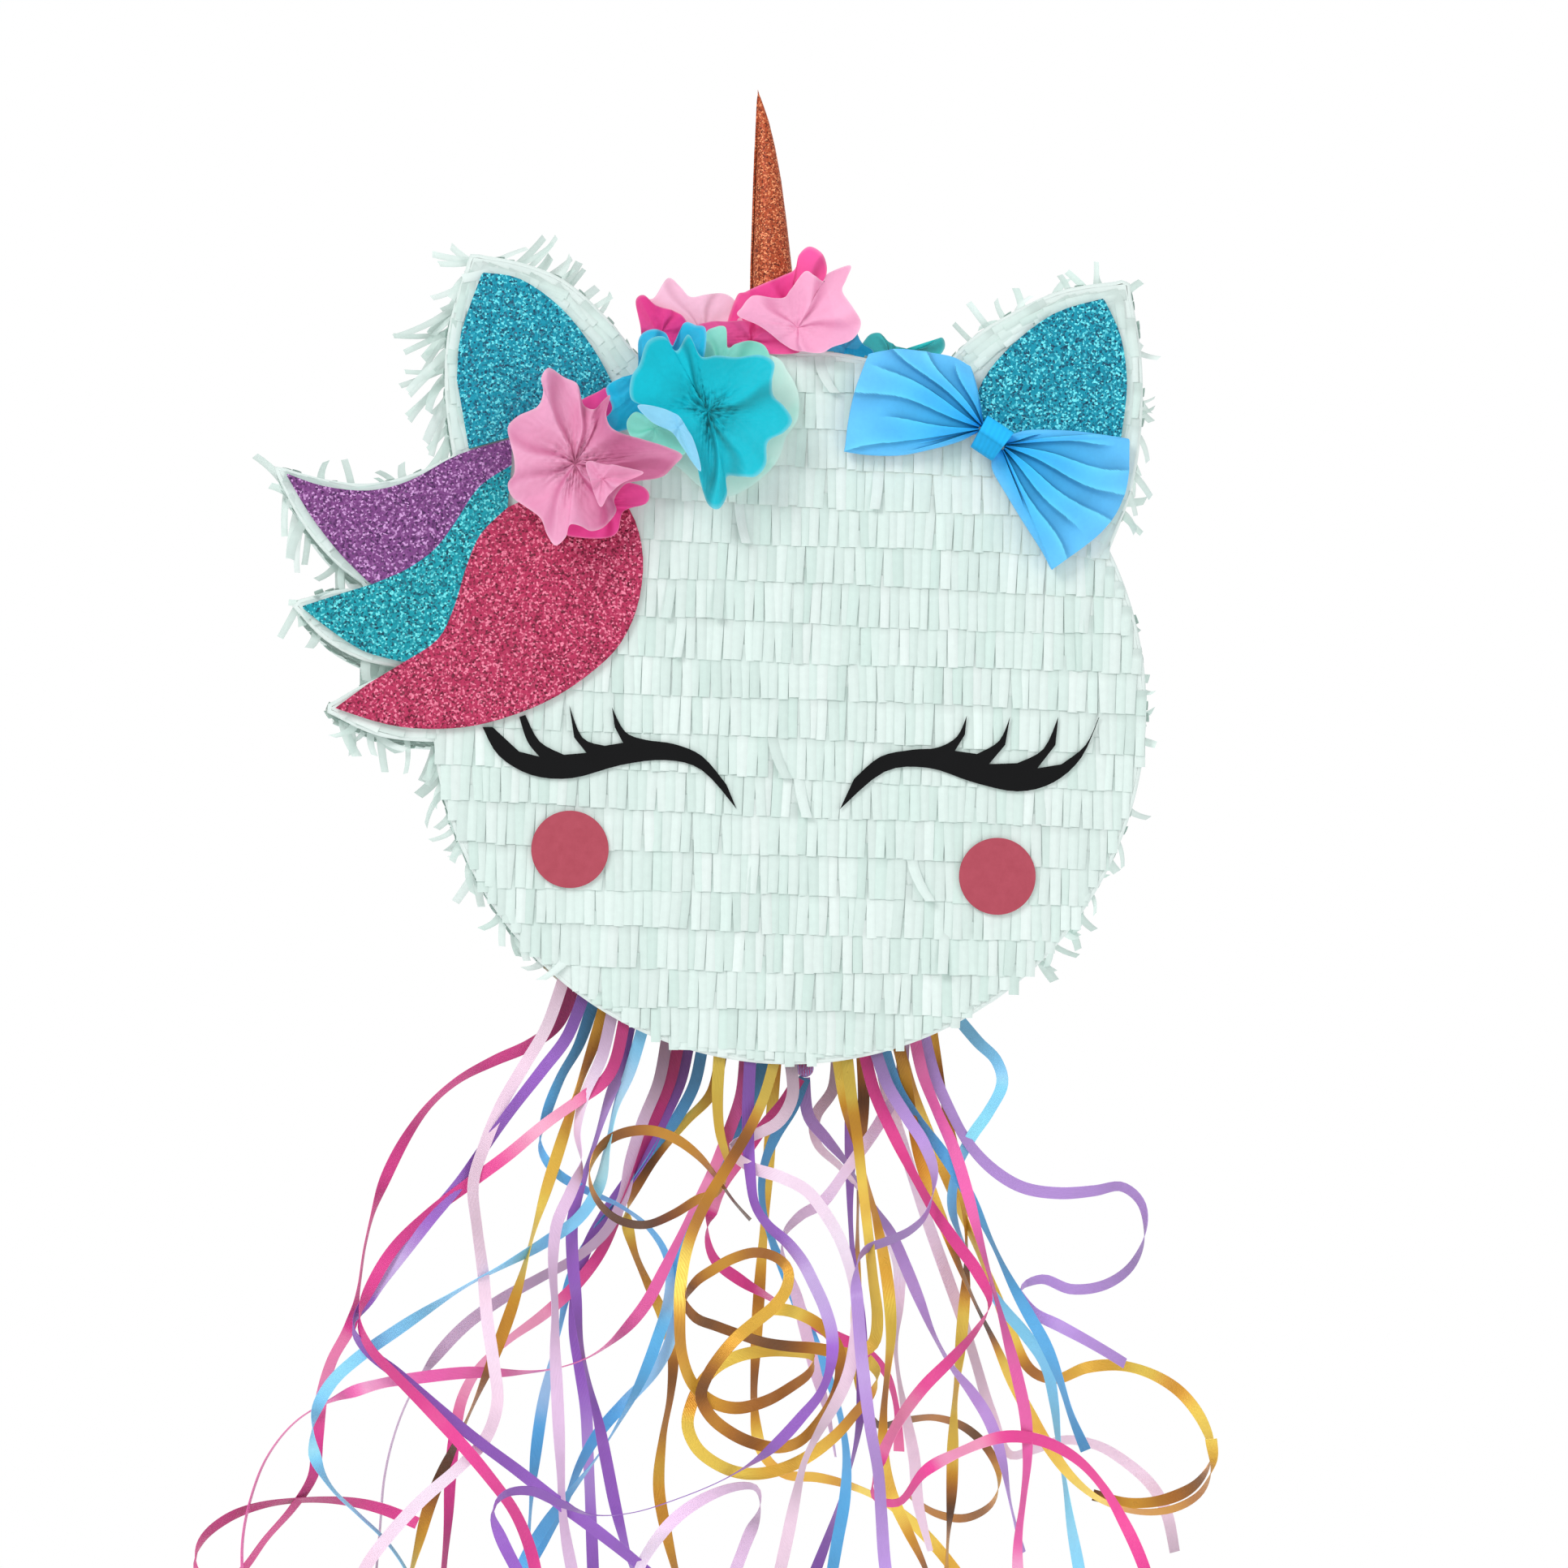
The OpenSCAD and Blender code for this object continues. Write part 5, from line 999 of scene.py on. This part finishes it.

# For each node its sheets from back to front: name, centre, border, depths of back and front, light
# and deep colour (the deep one is the tissue in painted shade), seed, folds, and what else is not as usual
FLOWERS = [
    # Pink flower, low on the left
    ("pink_flower_back", "tissue_hot_pink", [
        ("pink_hot_upper", (-98, -40), [(-110, -30), (-104, -25), (-96, -21), (-91, -19), (-87, -26),
         (-86, -36), (-92, -46), (-106, -48)], 49.6, 53, HOT_PINK, DEEP_HOT, 11, [(60, 30, 0.3)], {}),
        ("pink_hot_lower", (-92, -76), [(-112, -90), (-104, -93), (-92, -93), (-86, -90), (-83, -80),
         (-72, -76), (-71, -70), (-78, -66), (-96, -64), (-108, -74)], 49.6, 55, HOT_PINK, DEEP_HOT, 12,
         [(-70, 30, 0.3), (-10, 30, 0.3)], {})]),
    ("pink_flower_front", "tissue_pink", [
        ("pink_main", (-107, -57), [(-120, -12), (-124, -17), (-123, -24), (-126, -31), (-135, -35),
         (-140, -40), (-139, -48), (-137, -56), (-137, -63), (-140, -68), (-138, -74), (-131, -79),
         (-124, -85), (-121, -93), (-117, -99), (-112, -95), (-110, -89), (-105, -89), (-99, -91),
         (-92, -88), (-87, -81), (-88, -75), (-83, -68), (-76, -66), (-65, -64), (-59, -59), (-55, -54),
         (-62, -50), (-74, -46), (-88, -42), (-92, -34), (-90, -24), (-94, -27), (-98, -31), (-103, -28),
         (-106, -19), (-112, -16)], 54, 78, LIGHT_PINK, MID_PINK, 13, [(112, 16, 0.34), (84, 12, 0.3),
         (66, 9, 0.16), (-2, 14, 0.24), (-58, 13, 0.3), (-110, 20, 0.18), (-150, 24, 0.12),
         (168, 26, 0.14)], {"crumple": 0.7, "dusk": 0.85}),
        ("pink_flap", (-94, -66), [(-102, -58), (-92, -59), (-80, -61), (-74, -63), (-84, -68), (-91, -74),
         (-95, -80), (-99, -70)], 68, 80, LIGHT_PINK, MID_PINK, 15, [(-30, 30, 0.3)], {"crumple": 0.2})]),
    # Aqua flower
    ("aqua_flower_back", "tissue_mint", [
        ("mint_behind", (-38, -34), [(-10, -2), (-2, -10), (3, -20), (3, -33), (-3, -43), (-6, -52),
         (-12, -60), (-22, -68), (-32, -72), (-44, -68), (-58, -56), (-74, -48), (-80, -42), (-74, -32),
         (-60, -10), (-40, 2)], 47.6, 52, PALE_MINT, MINT, 21, [(-30, 30, 0.3), (20, 30, 0.2)], {"crumple":
         0.2, "mat": thin_mat}),
        ("mint_top", (-34, -14), [(-47, -4), (-43, 8), (-39, 11), (-33, 11), (-32, 1), (-28, 3), (-20, 5),
         (-13, 2), (-11, -8), (-20, -20), (-46, -22)], 50, 56, MINT, srgb(90, 190, 170), 22,
         [(115, 14, 0.4), (60, 26, 0.3)], {"crumple": 0.2})]),
    ("aqua_flower_front", "tissue_aqua", [
        ("aqua_sky_petals", (-66, -14), [(-92, -20), (-85, -15), (-77, -11), (-76, 4), (-71, 9), (-63, 8),
         (-59, 1), (-54, 12), (-48, 11), (-43, 9), (-44, -6), (-50, -26), (-66, -36), (-82, -40),
         (-92, -42), (-93, -36), (-89, -30)], 53, 66, SKY, srgb(6, 158, 200), 23, [(100, 20, 0.3),
         (150, 24, 0.24), (205, 20, 0.2)], {"crumple": 0.2}),
        ("mint_folded", (-68, -40), [(-78, -32), (-72, -34), (-60, -40), (-53, -50), (-56, -53), (-66, -48),
         (-70, -50), (-78, -47), (-82, -38)], 60, 66, MINT, srgb(96, 196, 170), 24, [(200, 30, 0.3)],
         {"crumple": 0.2}),
        ("aqua_main", (-42, -31), [(-80, -16), (-76, -9), (-72, 2), (-64, 4), (-58, -3), (-52, 6),
         (-47, -3), (-44, -5), (-38, -4), (-28, -5), (-17, -4), (-10, -8), (-11, -17), (-10, -24),
         (-5, -29), (-1, -36), (-5, -42), (-13, -47), (-14, -58), (-19, -64), (-26, -64), (-33, -64),
         (-33, -73), (-37, -80), (-42, -78), (-46, -66), (-48, -56), (-53, -44), (-60, -36), (-72, -30),
         (-80, -26)], 57, 78, AQUA, DEEP_AQUA, 25, [(120, 12, 0.24), (-82, 9, 0.3), (-58, 20, 0.1),
         (22, 26, 0.12)], {"waves": 2, "wave": 0.08}),
        ("aqua_ice_edge", (-57, -40), [(-77, -30), (-68, -30), (-58, -34), (-52, -42), (-48, -52),
         (-46, -62), (-50, -58), (-55, -50), (-60, -43), (-70, -38)], 68, 76, ICE, srgb(120, 190, 215), 26,
         [(-60, 30, 0.2)], {"crumple": 0.1})]),
    # Crown flower, on the rim
    ("crown_flower_back", "tissue_hot_pink", [
        ("crown_hot_left", (-64, 10), [(-77, 25), (-73, 28), (-67, 23), (-57, 20), (-52, 15), (-50, 6),
         (-56, -2), (-64, -4), (-72, 0), (-75, 14)], 42, 50, srgb(228, 58, 142), DEEP_HOT, 31,
         [(70, 26, 0.3)], {"crumple": 0.2}),
        ("crown_light_left", (-44, 10), [(-74, 27), (-68, 27), (-61, 37), (-55, 33), (-50, 28), (-42, 29),
         (-34, 30), (-28, 27), (-25, 20), (-22, 6), (-34, -2), (-56, -2), (-64, 8), (-70, 18)], 38, 45,
         srgb(246, 176, 210), SHADED_PINK, 32, [(130, 18, 0.3), (80, 20, 0.2)], {"crumple": 0.2, "mat":
         thin_mat}),
        ("crown_hot_right", (-2, 16), [(-27, 28), (-22, 31), (-11, 36), (-4, 39), (2, 42), (4, 49), (9, 53),
         (15, 50), (18, 44), (18, 34), (22, 14), (10, 0), (-20, -2), (-32, 8)], 37, 46, HOT_PINK, DEEP_HOT,
         33, [(60, 14, 0.4), (110, 24, 0.2)], {"crumple": 0.3})]),
    ("crown_flower_front", "tissue_pink", [
        ("crown_hot_front", (-20, 6), [(-48, 12), (-40, 15), (-32, 15), (-20, 15), (-10, 14), (2, 6),
         (4, 0), (-8, -1), (-20, 0), (-32, -2), (-36, 2), (-44, 4)], 44, 52, srgb(236, 88, 156), DEEP_HOT,
         34, [(100, 30, 0.3), (10, 26, 0.2)], {"crumple": 0.5}),
        ("crown_light_right", (3, 12), [(-27, 17), (-25, 21), (-22, 25), (-18, 27), (-5, 26), (-1, 30),
         (6, 39), (11, 37), (16, 35), (18, 39), (29, 43), (27, 36), (25, 30), (30, 22), (34, 14), (30, 6),
         (20, 2), (14, -1), (2, 0), (-6, 5), (-16, 12)], 47, 60, srgb(240, 168, 202), SHADED_PINK, 35,
         [(150, 24, 0.2), (66, 18, 0.24), (20, 26, 0.1), (-80, 18, 0.16)], {"waves": 2, "crumple": 0.25,
         "wave": 0.12})]),
    # Small aqua flower, behind the bow
    ("small_aqua_flower", "tissue_teal", [
        ("teal_sky_left", (28, 4), [(15, 10), (17, 16), (22, 20), (28, 17), (33, 13), (36, 7), (42, 2),
         (36, -5), (24, -3), (15, 0)], 30, 38, srgb(30, 176, 222), srgb(8, 120, 150), 41, [(70, 30, 0.3)],
         {"crumple": 0.3}),
        ("teal_ruffle", (50, 2), [(28, 4), (34, 4), (40, 11), (46, 12), (50, 8), (55, 5), (64, 4), (70, 6),
         (76, 10), (78, 6), (75, 1), (66, -4), (48, -8), (30, -6)], 27, 35, srgb(38, 186, 186),
         srgb(4, 108, 112), 42, [(110, 16, 0.4), (60, 22, 0.3), (20, 20, 0.3)], {"crumple": 0.4})]),
]
for flower_node, flower_slot, layers in FLOWERS:
    for layer, *facts, others in layers:
        sheet(layer, flower_node, flower_slot, *facts, **others)


# ---- crepe bow ----

crepe_mat = Nodes("crepe", Roughness=0.7, Specular_IOR_Level=0.15)
crepe_grain = crepe_mat.noise(420, 3.0)
crepe_mat.into("Base Color", crepe_mat.times(crepe_mat.tint(), crepe_mat.grey(crepe_grain, 0.93, 1.05)))
crepe_mat.bump(crepe_grain, 0.0002)
CREPE = np.array(srgb(38, 184, 250)[:3])
WING_Y = 50.0


def wing(name, node, heart, border, creases):
    """One wing of the bow: crepe paper gathered at the knot. Creases run out from the knot: place
    round the edge from 0 to 1, how far out each runs, height and side of its sharp face. Its colour
    has painted shade on the steep side of each crease and near the knot, and a painted highlight just
    over each crest; it grows lighter and paler towards the outer edge."""
    edge, _ = catmull(border, 0.45)
    m, k = len(edge), 44
    v = np.linspace(0, 1, m)[None, :]
    u = np.linspace(0.04, 1, k)[:, None]
    depth = 0.28 * np.sin(26 * v + 3 * np.sin(5 * u)) * u + 0.5 * np.sin(7 * v + 4 * u)
    dark = 0 * u * v
    for place, far, rise, side in creases:
        at = (v - place - 0.015 * np.sin(6 * u + 9 * place)) * side
        out = ease(1 - (u - far) / 0.22)
        depth += rise * out * (np.exp(-np.maximum(at, 0) / 0.055) * (at >= 0)
                               + np.exp(-(at / 0.008) ** 2) * (at < 0))
        # Painted shade on the steep side of the crease, and a painted highlight just over its crest.
        dark += 0.55 * out * np.exp(-np.maximum(-at, 0) / 0.022) * (at < 0) * (1.1 - 0.5 * u)
        dark -= 0.30 * out * np.exp(-np.maximum(at, 0) / 0.012) * (at >= 0)
    body = 6.5 * np.sin(np.pi * np.clip(u * 0.94, 0, 1)) ** 0.6 * (0.35 + 0.65 * np.sin(np.pi * v)) + 0.8
    front = WING_Y + 0.9 + np.minimum(body * 0.8 + np.clip(depth, 0, 4.4), 11.5)
    x = heart[0] + (edge[:, 0] - heart[0])[None] * u
    z = heart[1] + (edge[:, 1] - heart[1])[None] * u
    face, back = (np.stack([x, y, z], -1).reshape(-1, 3) for y in (-front, 0 * front - WING_Y))
    patch = 0.05 * np.sin(0.21 * x + 1.3 * np.sin(0.13 * z)) * np.sin(0.17 * z + 2)
    # Painted shade darkens the creases and the gathered part near the knot; patch is a broad random tone.
    dim = np.clip(0.90 + 0.12 * u - dark - 0.18 * np.exp(-u / 0.12) + patch, 0.25, 1.25)
    pale = CREPE + (1 - CREPE) * 0.12
    tint = np.clip(dim[..., None] * (CREPE + (pale - CREPE) * u[..., None]), 0, 1)
    tint = np.concatenate([tint.reshape(-1, 3)] * 2)
    make(name, np.concatenate([face, back]), shell_faces(k, m), crepe_mat.mat, "root", [node], "crepe_blue",
         sharp=55, tint=tint)


wing("bow_wing_left", "bow_left_wing", (95, -38), [(91, -40), (83, -44), (69, -48), (54, -51), (38, -51),
      (27, -49.5), (26, -49), (26.5, -46), (28, -34), (31, -20), (36, -6), (37.5, -2.5), (39, -1), (51, 1),
      (66, 0), (79, -2), (87, -6), (89, -8), (92, -18), (93, -30), (94, -35)],
      [(0.2, 0.7, 1.6, -1), (0.33, 0.9, 2.2, 1), (0.42, 0.6, 1.6, -1), (0.5, 0.95, 2.6, 1),
      (0.585, 0.8, 3.0, -1), (0.66, 0.98, 3.0, 1), (0.735, 0.95, 3.2, -1), (0.8, 0.75, 2.2, 1),
      (0.27, 0.45, 1.4, 1), (0.9, 0.5, 1.4, 1)])
wing("bow_wing_right", "bow_right_wing", (103, -46), [(105, -43), (110, -40), (120, -38), (140, -38.5),
      (156, -40.5), (166, -42), (167.5, -43), (167.5, -46), (167, -58), (165, -69), (161, -79), (154, -88),
      (146, -95), (135, -103), (130, -106.5), (128.5, -106.5), (124, -98), (115, -84), (107, -71),
      (100, -59), (99, -53)],
      [(0.14, 0.55, 1.8, -1), (0.22, 0.85, 2.4, 1), (0.31, 0.7, 2.2, -1), (0.385, 0.9, 2.8, 1),
      (0.455, 0.95, 3.2, -1), (0.53, 0.92, 3.0, 1), (0.6, 0.72, 2.2, -1), (0.665, 0.9, 2.6, 1),
      (0.74, 0.55, 1.8, -1), (0.8, 0.5, 1.5, 1)])


def bow_knot():
    """The strip that gathers the bow: a flattened loop, wider at its upper end, with one cross fold.
    Its colour has painted shade: the lower half darker than the upper, and darker along the fold.
    """
    centre = np.array([98.2, -WING_Y - 8.4, -43.6])
    along = np.array([-0.55, 0, -0.835])
    side = np.array([0.835, 0, -0.55])
    n, k = 64, 26
    verts, tone = [], []
    for i in range(k):
        u = -1 + 2 * i / (k - 1)
        broad = 1.0 + 0.04 * math.sin(5 * u)
        for j in range(n):
            a = TAU * j / n
            c, q = math.cos(a), math.sin(a)
            box = 1 / (abs(c) ** 5 + abs(q) ** 5) ** 0.2
            fold = 0.35 * math.exp(-((c * box - 0.05) / 0.10) ** 2)
            verts.append(centre + side * u * (7.0 - 0.7 * c * box) * broad + along * 8.6 * c * box
                         + np.array([0, -1, 0]) * (5.4 - 1.0 * u * u - fold) * q * box)
            # Painted shade: the lower half is darker than the upper, and the fold darker still.
            tone.append((0.80 if c * box > 0.03 else 1.06) * (0.95 + 0.05 * math.sin(17 * u + 3 * a))
                        * CREPE * (1 - 0.5 * fold))
    faces = grid_faces(k, n, loop=True) + [tuple(reversed(range(n))), tuple(range((k - 1) * n, k * n))]
    make("bow_centre", verts, faces, crepe_mat.mat, "root", ["bow_knot"], "crepe_blue", sharp=50,
         tint=np.clip(np.array(tone), 0, 1))


bow_knot()


# ---- horn: a sheet of glitter foam rolled into a cone, with its overlap on the left ----

# Height, radius and X of the middle
HORN_PROFILE = [(-6, 13.6, -4.6), (0, 13.2, -5.0), (30, 11.2, -7.0), (45, 10.0, -8.0), (70, 8.2, -9.0),
                (90, 6.6, -10.0), (108, 4.6, -11.3), (120, 3.2, -12.6), (130, 1.6, -14.2),
                (135.4, 0.35, -15.0)]
HORN_Y = -21.5
SEAM, OVERLAP = math.radians(112), 1.15         # where the sheet starts and how far it laps, in radians
copper = glitter("copper_glitter", srgb(96, 32, 12), srgb(184, 80, 42), srgb(255, 168, 116), 1500, 0.45)


def horn():
    h, r, c = np.array(HORN_PROFILE).T
    zs = np.linspace(h[0], h[-1], 60)
    radius, centre = np.interp(zs, h, r), np.interp(zs, h, c)
    turns, n = TAU + OVERLAP, 90
    verts = []
    for inner in (0, 1):
        for z, rad, cx in zip(zs, radius, centre):
            start = SEAM + 0.2 * (z / 135)
            for i in range(n):
                t = i / (n - 1)
                a = start + turns * t
                lip = 1.5 * t * min(1, rad / 5) - 0.7
                rr = max(rad + lip - inner * min(0.9, rad * 0.4), 0.05)
                verts.append((cx + rr * math.cos(a), HORN_Y + rr * math.sin(a), z))
    make("rolled_horn", verts, shell_faces(len(zs), n), copper, "root", ["horn"], "foam_copper", sharp=50)


horn()


# ---- materials of the CAD nodes that stay ----

def cardboard():
    m = Nodes("cardboard_kraft", Roughness=0.85)
    stretched = m.add("Mapping", Vector=m.place(), Scale=(900.0, 60.0, 900.0)).outputs[0]
    fibre = m.add("TexNoise", Vector=stretched, Scale=1.0, Detail=3.0).outputs["Fac"]
    m.into("Base Color", m.times(m.ramp(m.noise(60), (0.2, srgb(170, 128, 84)), (0.8, srgb(198, 156, 108))),
                                 m.grey(fibre, 0.9, 1.05)))
    m.bump(fibre, 0.00015)
    return m.mat


def paper(name, low, high, rough=0.55):
    m = Nodes(name, Roughness=rough)
    m.into("Base Color", m.ramp(m.noise(240), (0.2, low), (0.8, high)))
    m.bump(m.noise(600, 4.0), 0.0001)
    return m.mat


def vinyl():
    m = Nodes("vinyl_gloss", Coat_Weight=0.5, Coat_Roughness=0.03, Specular_IOR_Level=0.0)
    m.into("Base Color", m.ramp(m.noise(30), (0.2, srgb(3, 3, 4)), (0.8, srgb(9, 9, 11))))
    m.into("Roughness", m.grey(m.noise(90), 0.10, 0.22))
    m.bump(m.noise(48, 0.0), 0.0085)
    return m.mat


def brass():
    m = Nodes("brass_eyelet", Metallic=1.0)
    m.into("Base Color", m.ramp(m.noise(150), (0.2, srgb(196, 152, 78)), (0.8, srgb(226, 186, 108))))
    m.into("Roughness", m.grey(m.noise(400), 0.16, 0.34))
    m.bump(m.noise(500), 0.00005)
    return m.mat


def knot_satin():
    m = Nodes("knot_satin", Coat_Weight=0.25, Roughness=0.35)
    wave = m.add("TexWave", {"wave_type": "BANDS"}, Vector=m.place(), Scale=260.0,
                 Distortion=6.0).outputs["Fac"]
    m.into("Base Color", m.ramp(wave, (0.1, srgb(205, 45, 135)), (0.4, srgb(76, 168, 226)),
                                (0.8, srgb(170, 130, 205))))
    m.bump(wave, 0.0006)
    return m.mat


teal_foam = glitter("teal_glitter", srgb(0, 64, 92), srgb(4, 150, 176), srgb(118, 240, 250))
aqua_foam = glitter("aqua_glitter", srgb(0, 66, 86), srgb(4, 154, 170), srgb(118, 238, 242))
CAD_LOOKS = [
    (cardboard(), ["front_panel", "back_panel", "crown_band", "left_ear_band", "right_ear_band", "mane_band",
                   "left_side_band", "right_side_band", "chin_band", "trap_door", "fill_flap", "hang_plate"]),
    (paper("tape_paper", srgb(226, 220, 206), srgb(242, 238, 228)),
     ["fill_flap_tape", "front_ribbon_tape", "back_ribbon_tape"]),
    (brass(), ["hang_eyelet"]),
    (knot_satin(), ["pull_knot"]),
    (teal_foam, ["left_ear_foam", "right_ear_foam"]),
    (aqua_foam, ["mane_aqua_foam"]),
    (glitter("purple_glitter", srgb(70, 28, 82), srgb(128, 68, 134), srgb(216, 164, 222)),
     ["mane_purple_foam"]),
    (glitter("pink_glitter", srgb(102, 8, 42), srgb(188, 48, 92), srgb(250, 140, 170)),
     ["mane_pink_foam"]),
    (vinyl(), ["left_eyelash", "right_eyelash"]),
    (paper("cheek_card", srgb(168, 60, 78), srgb(178, 70, 88), 0.6), ["left_cheek", "right_cheek"]),
]
for mat, nodes in CAD_LOOKS:
    for node in nodes:
        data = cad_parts[node].data
        data.materials.clear()
        data.materials.append(mat)
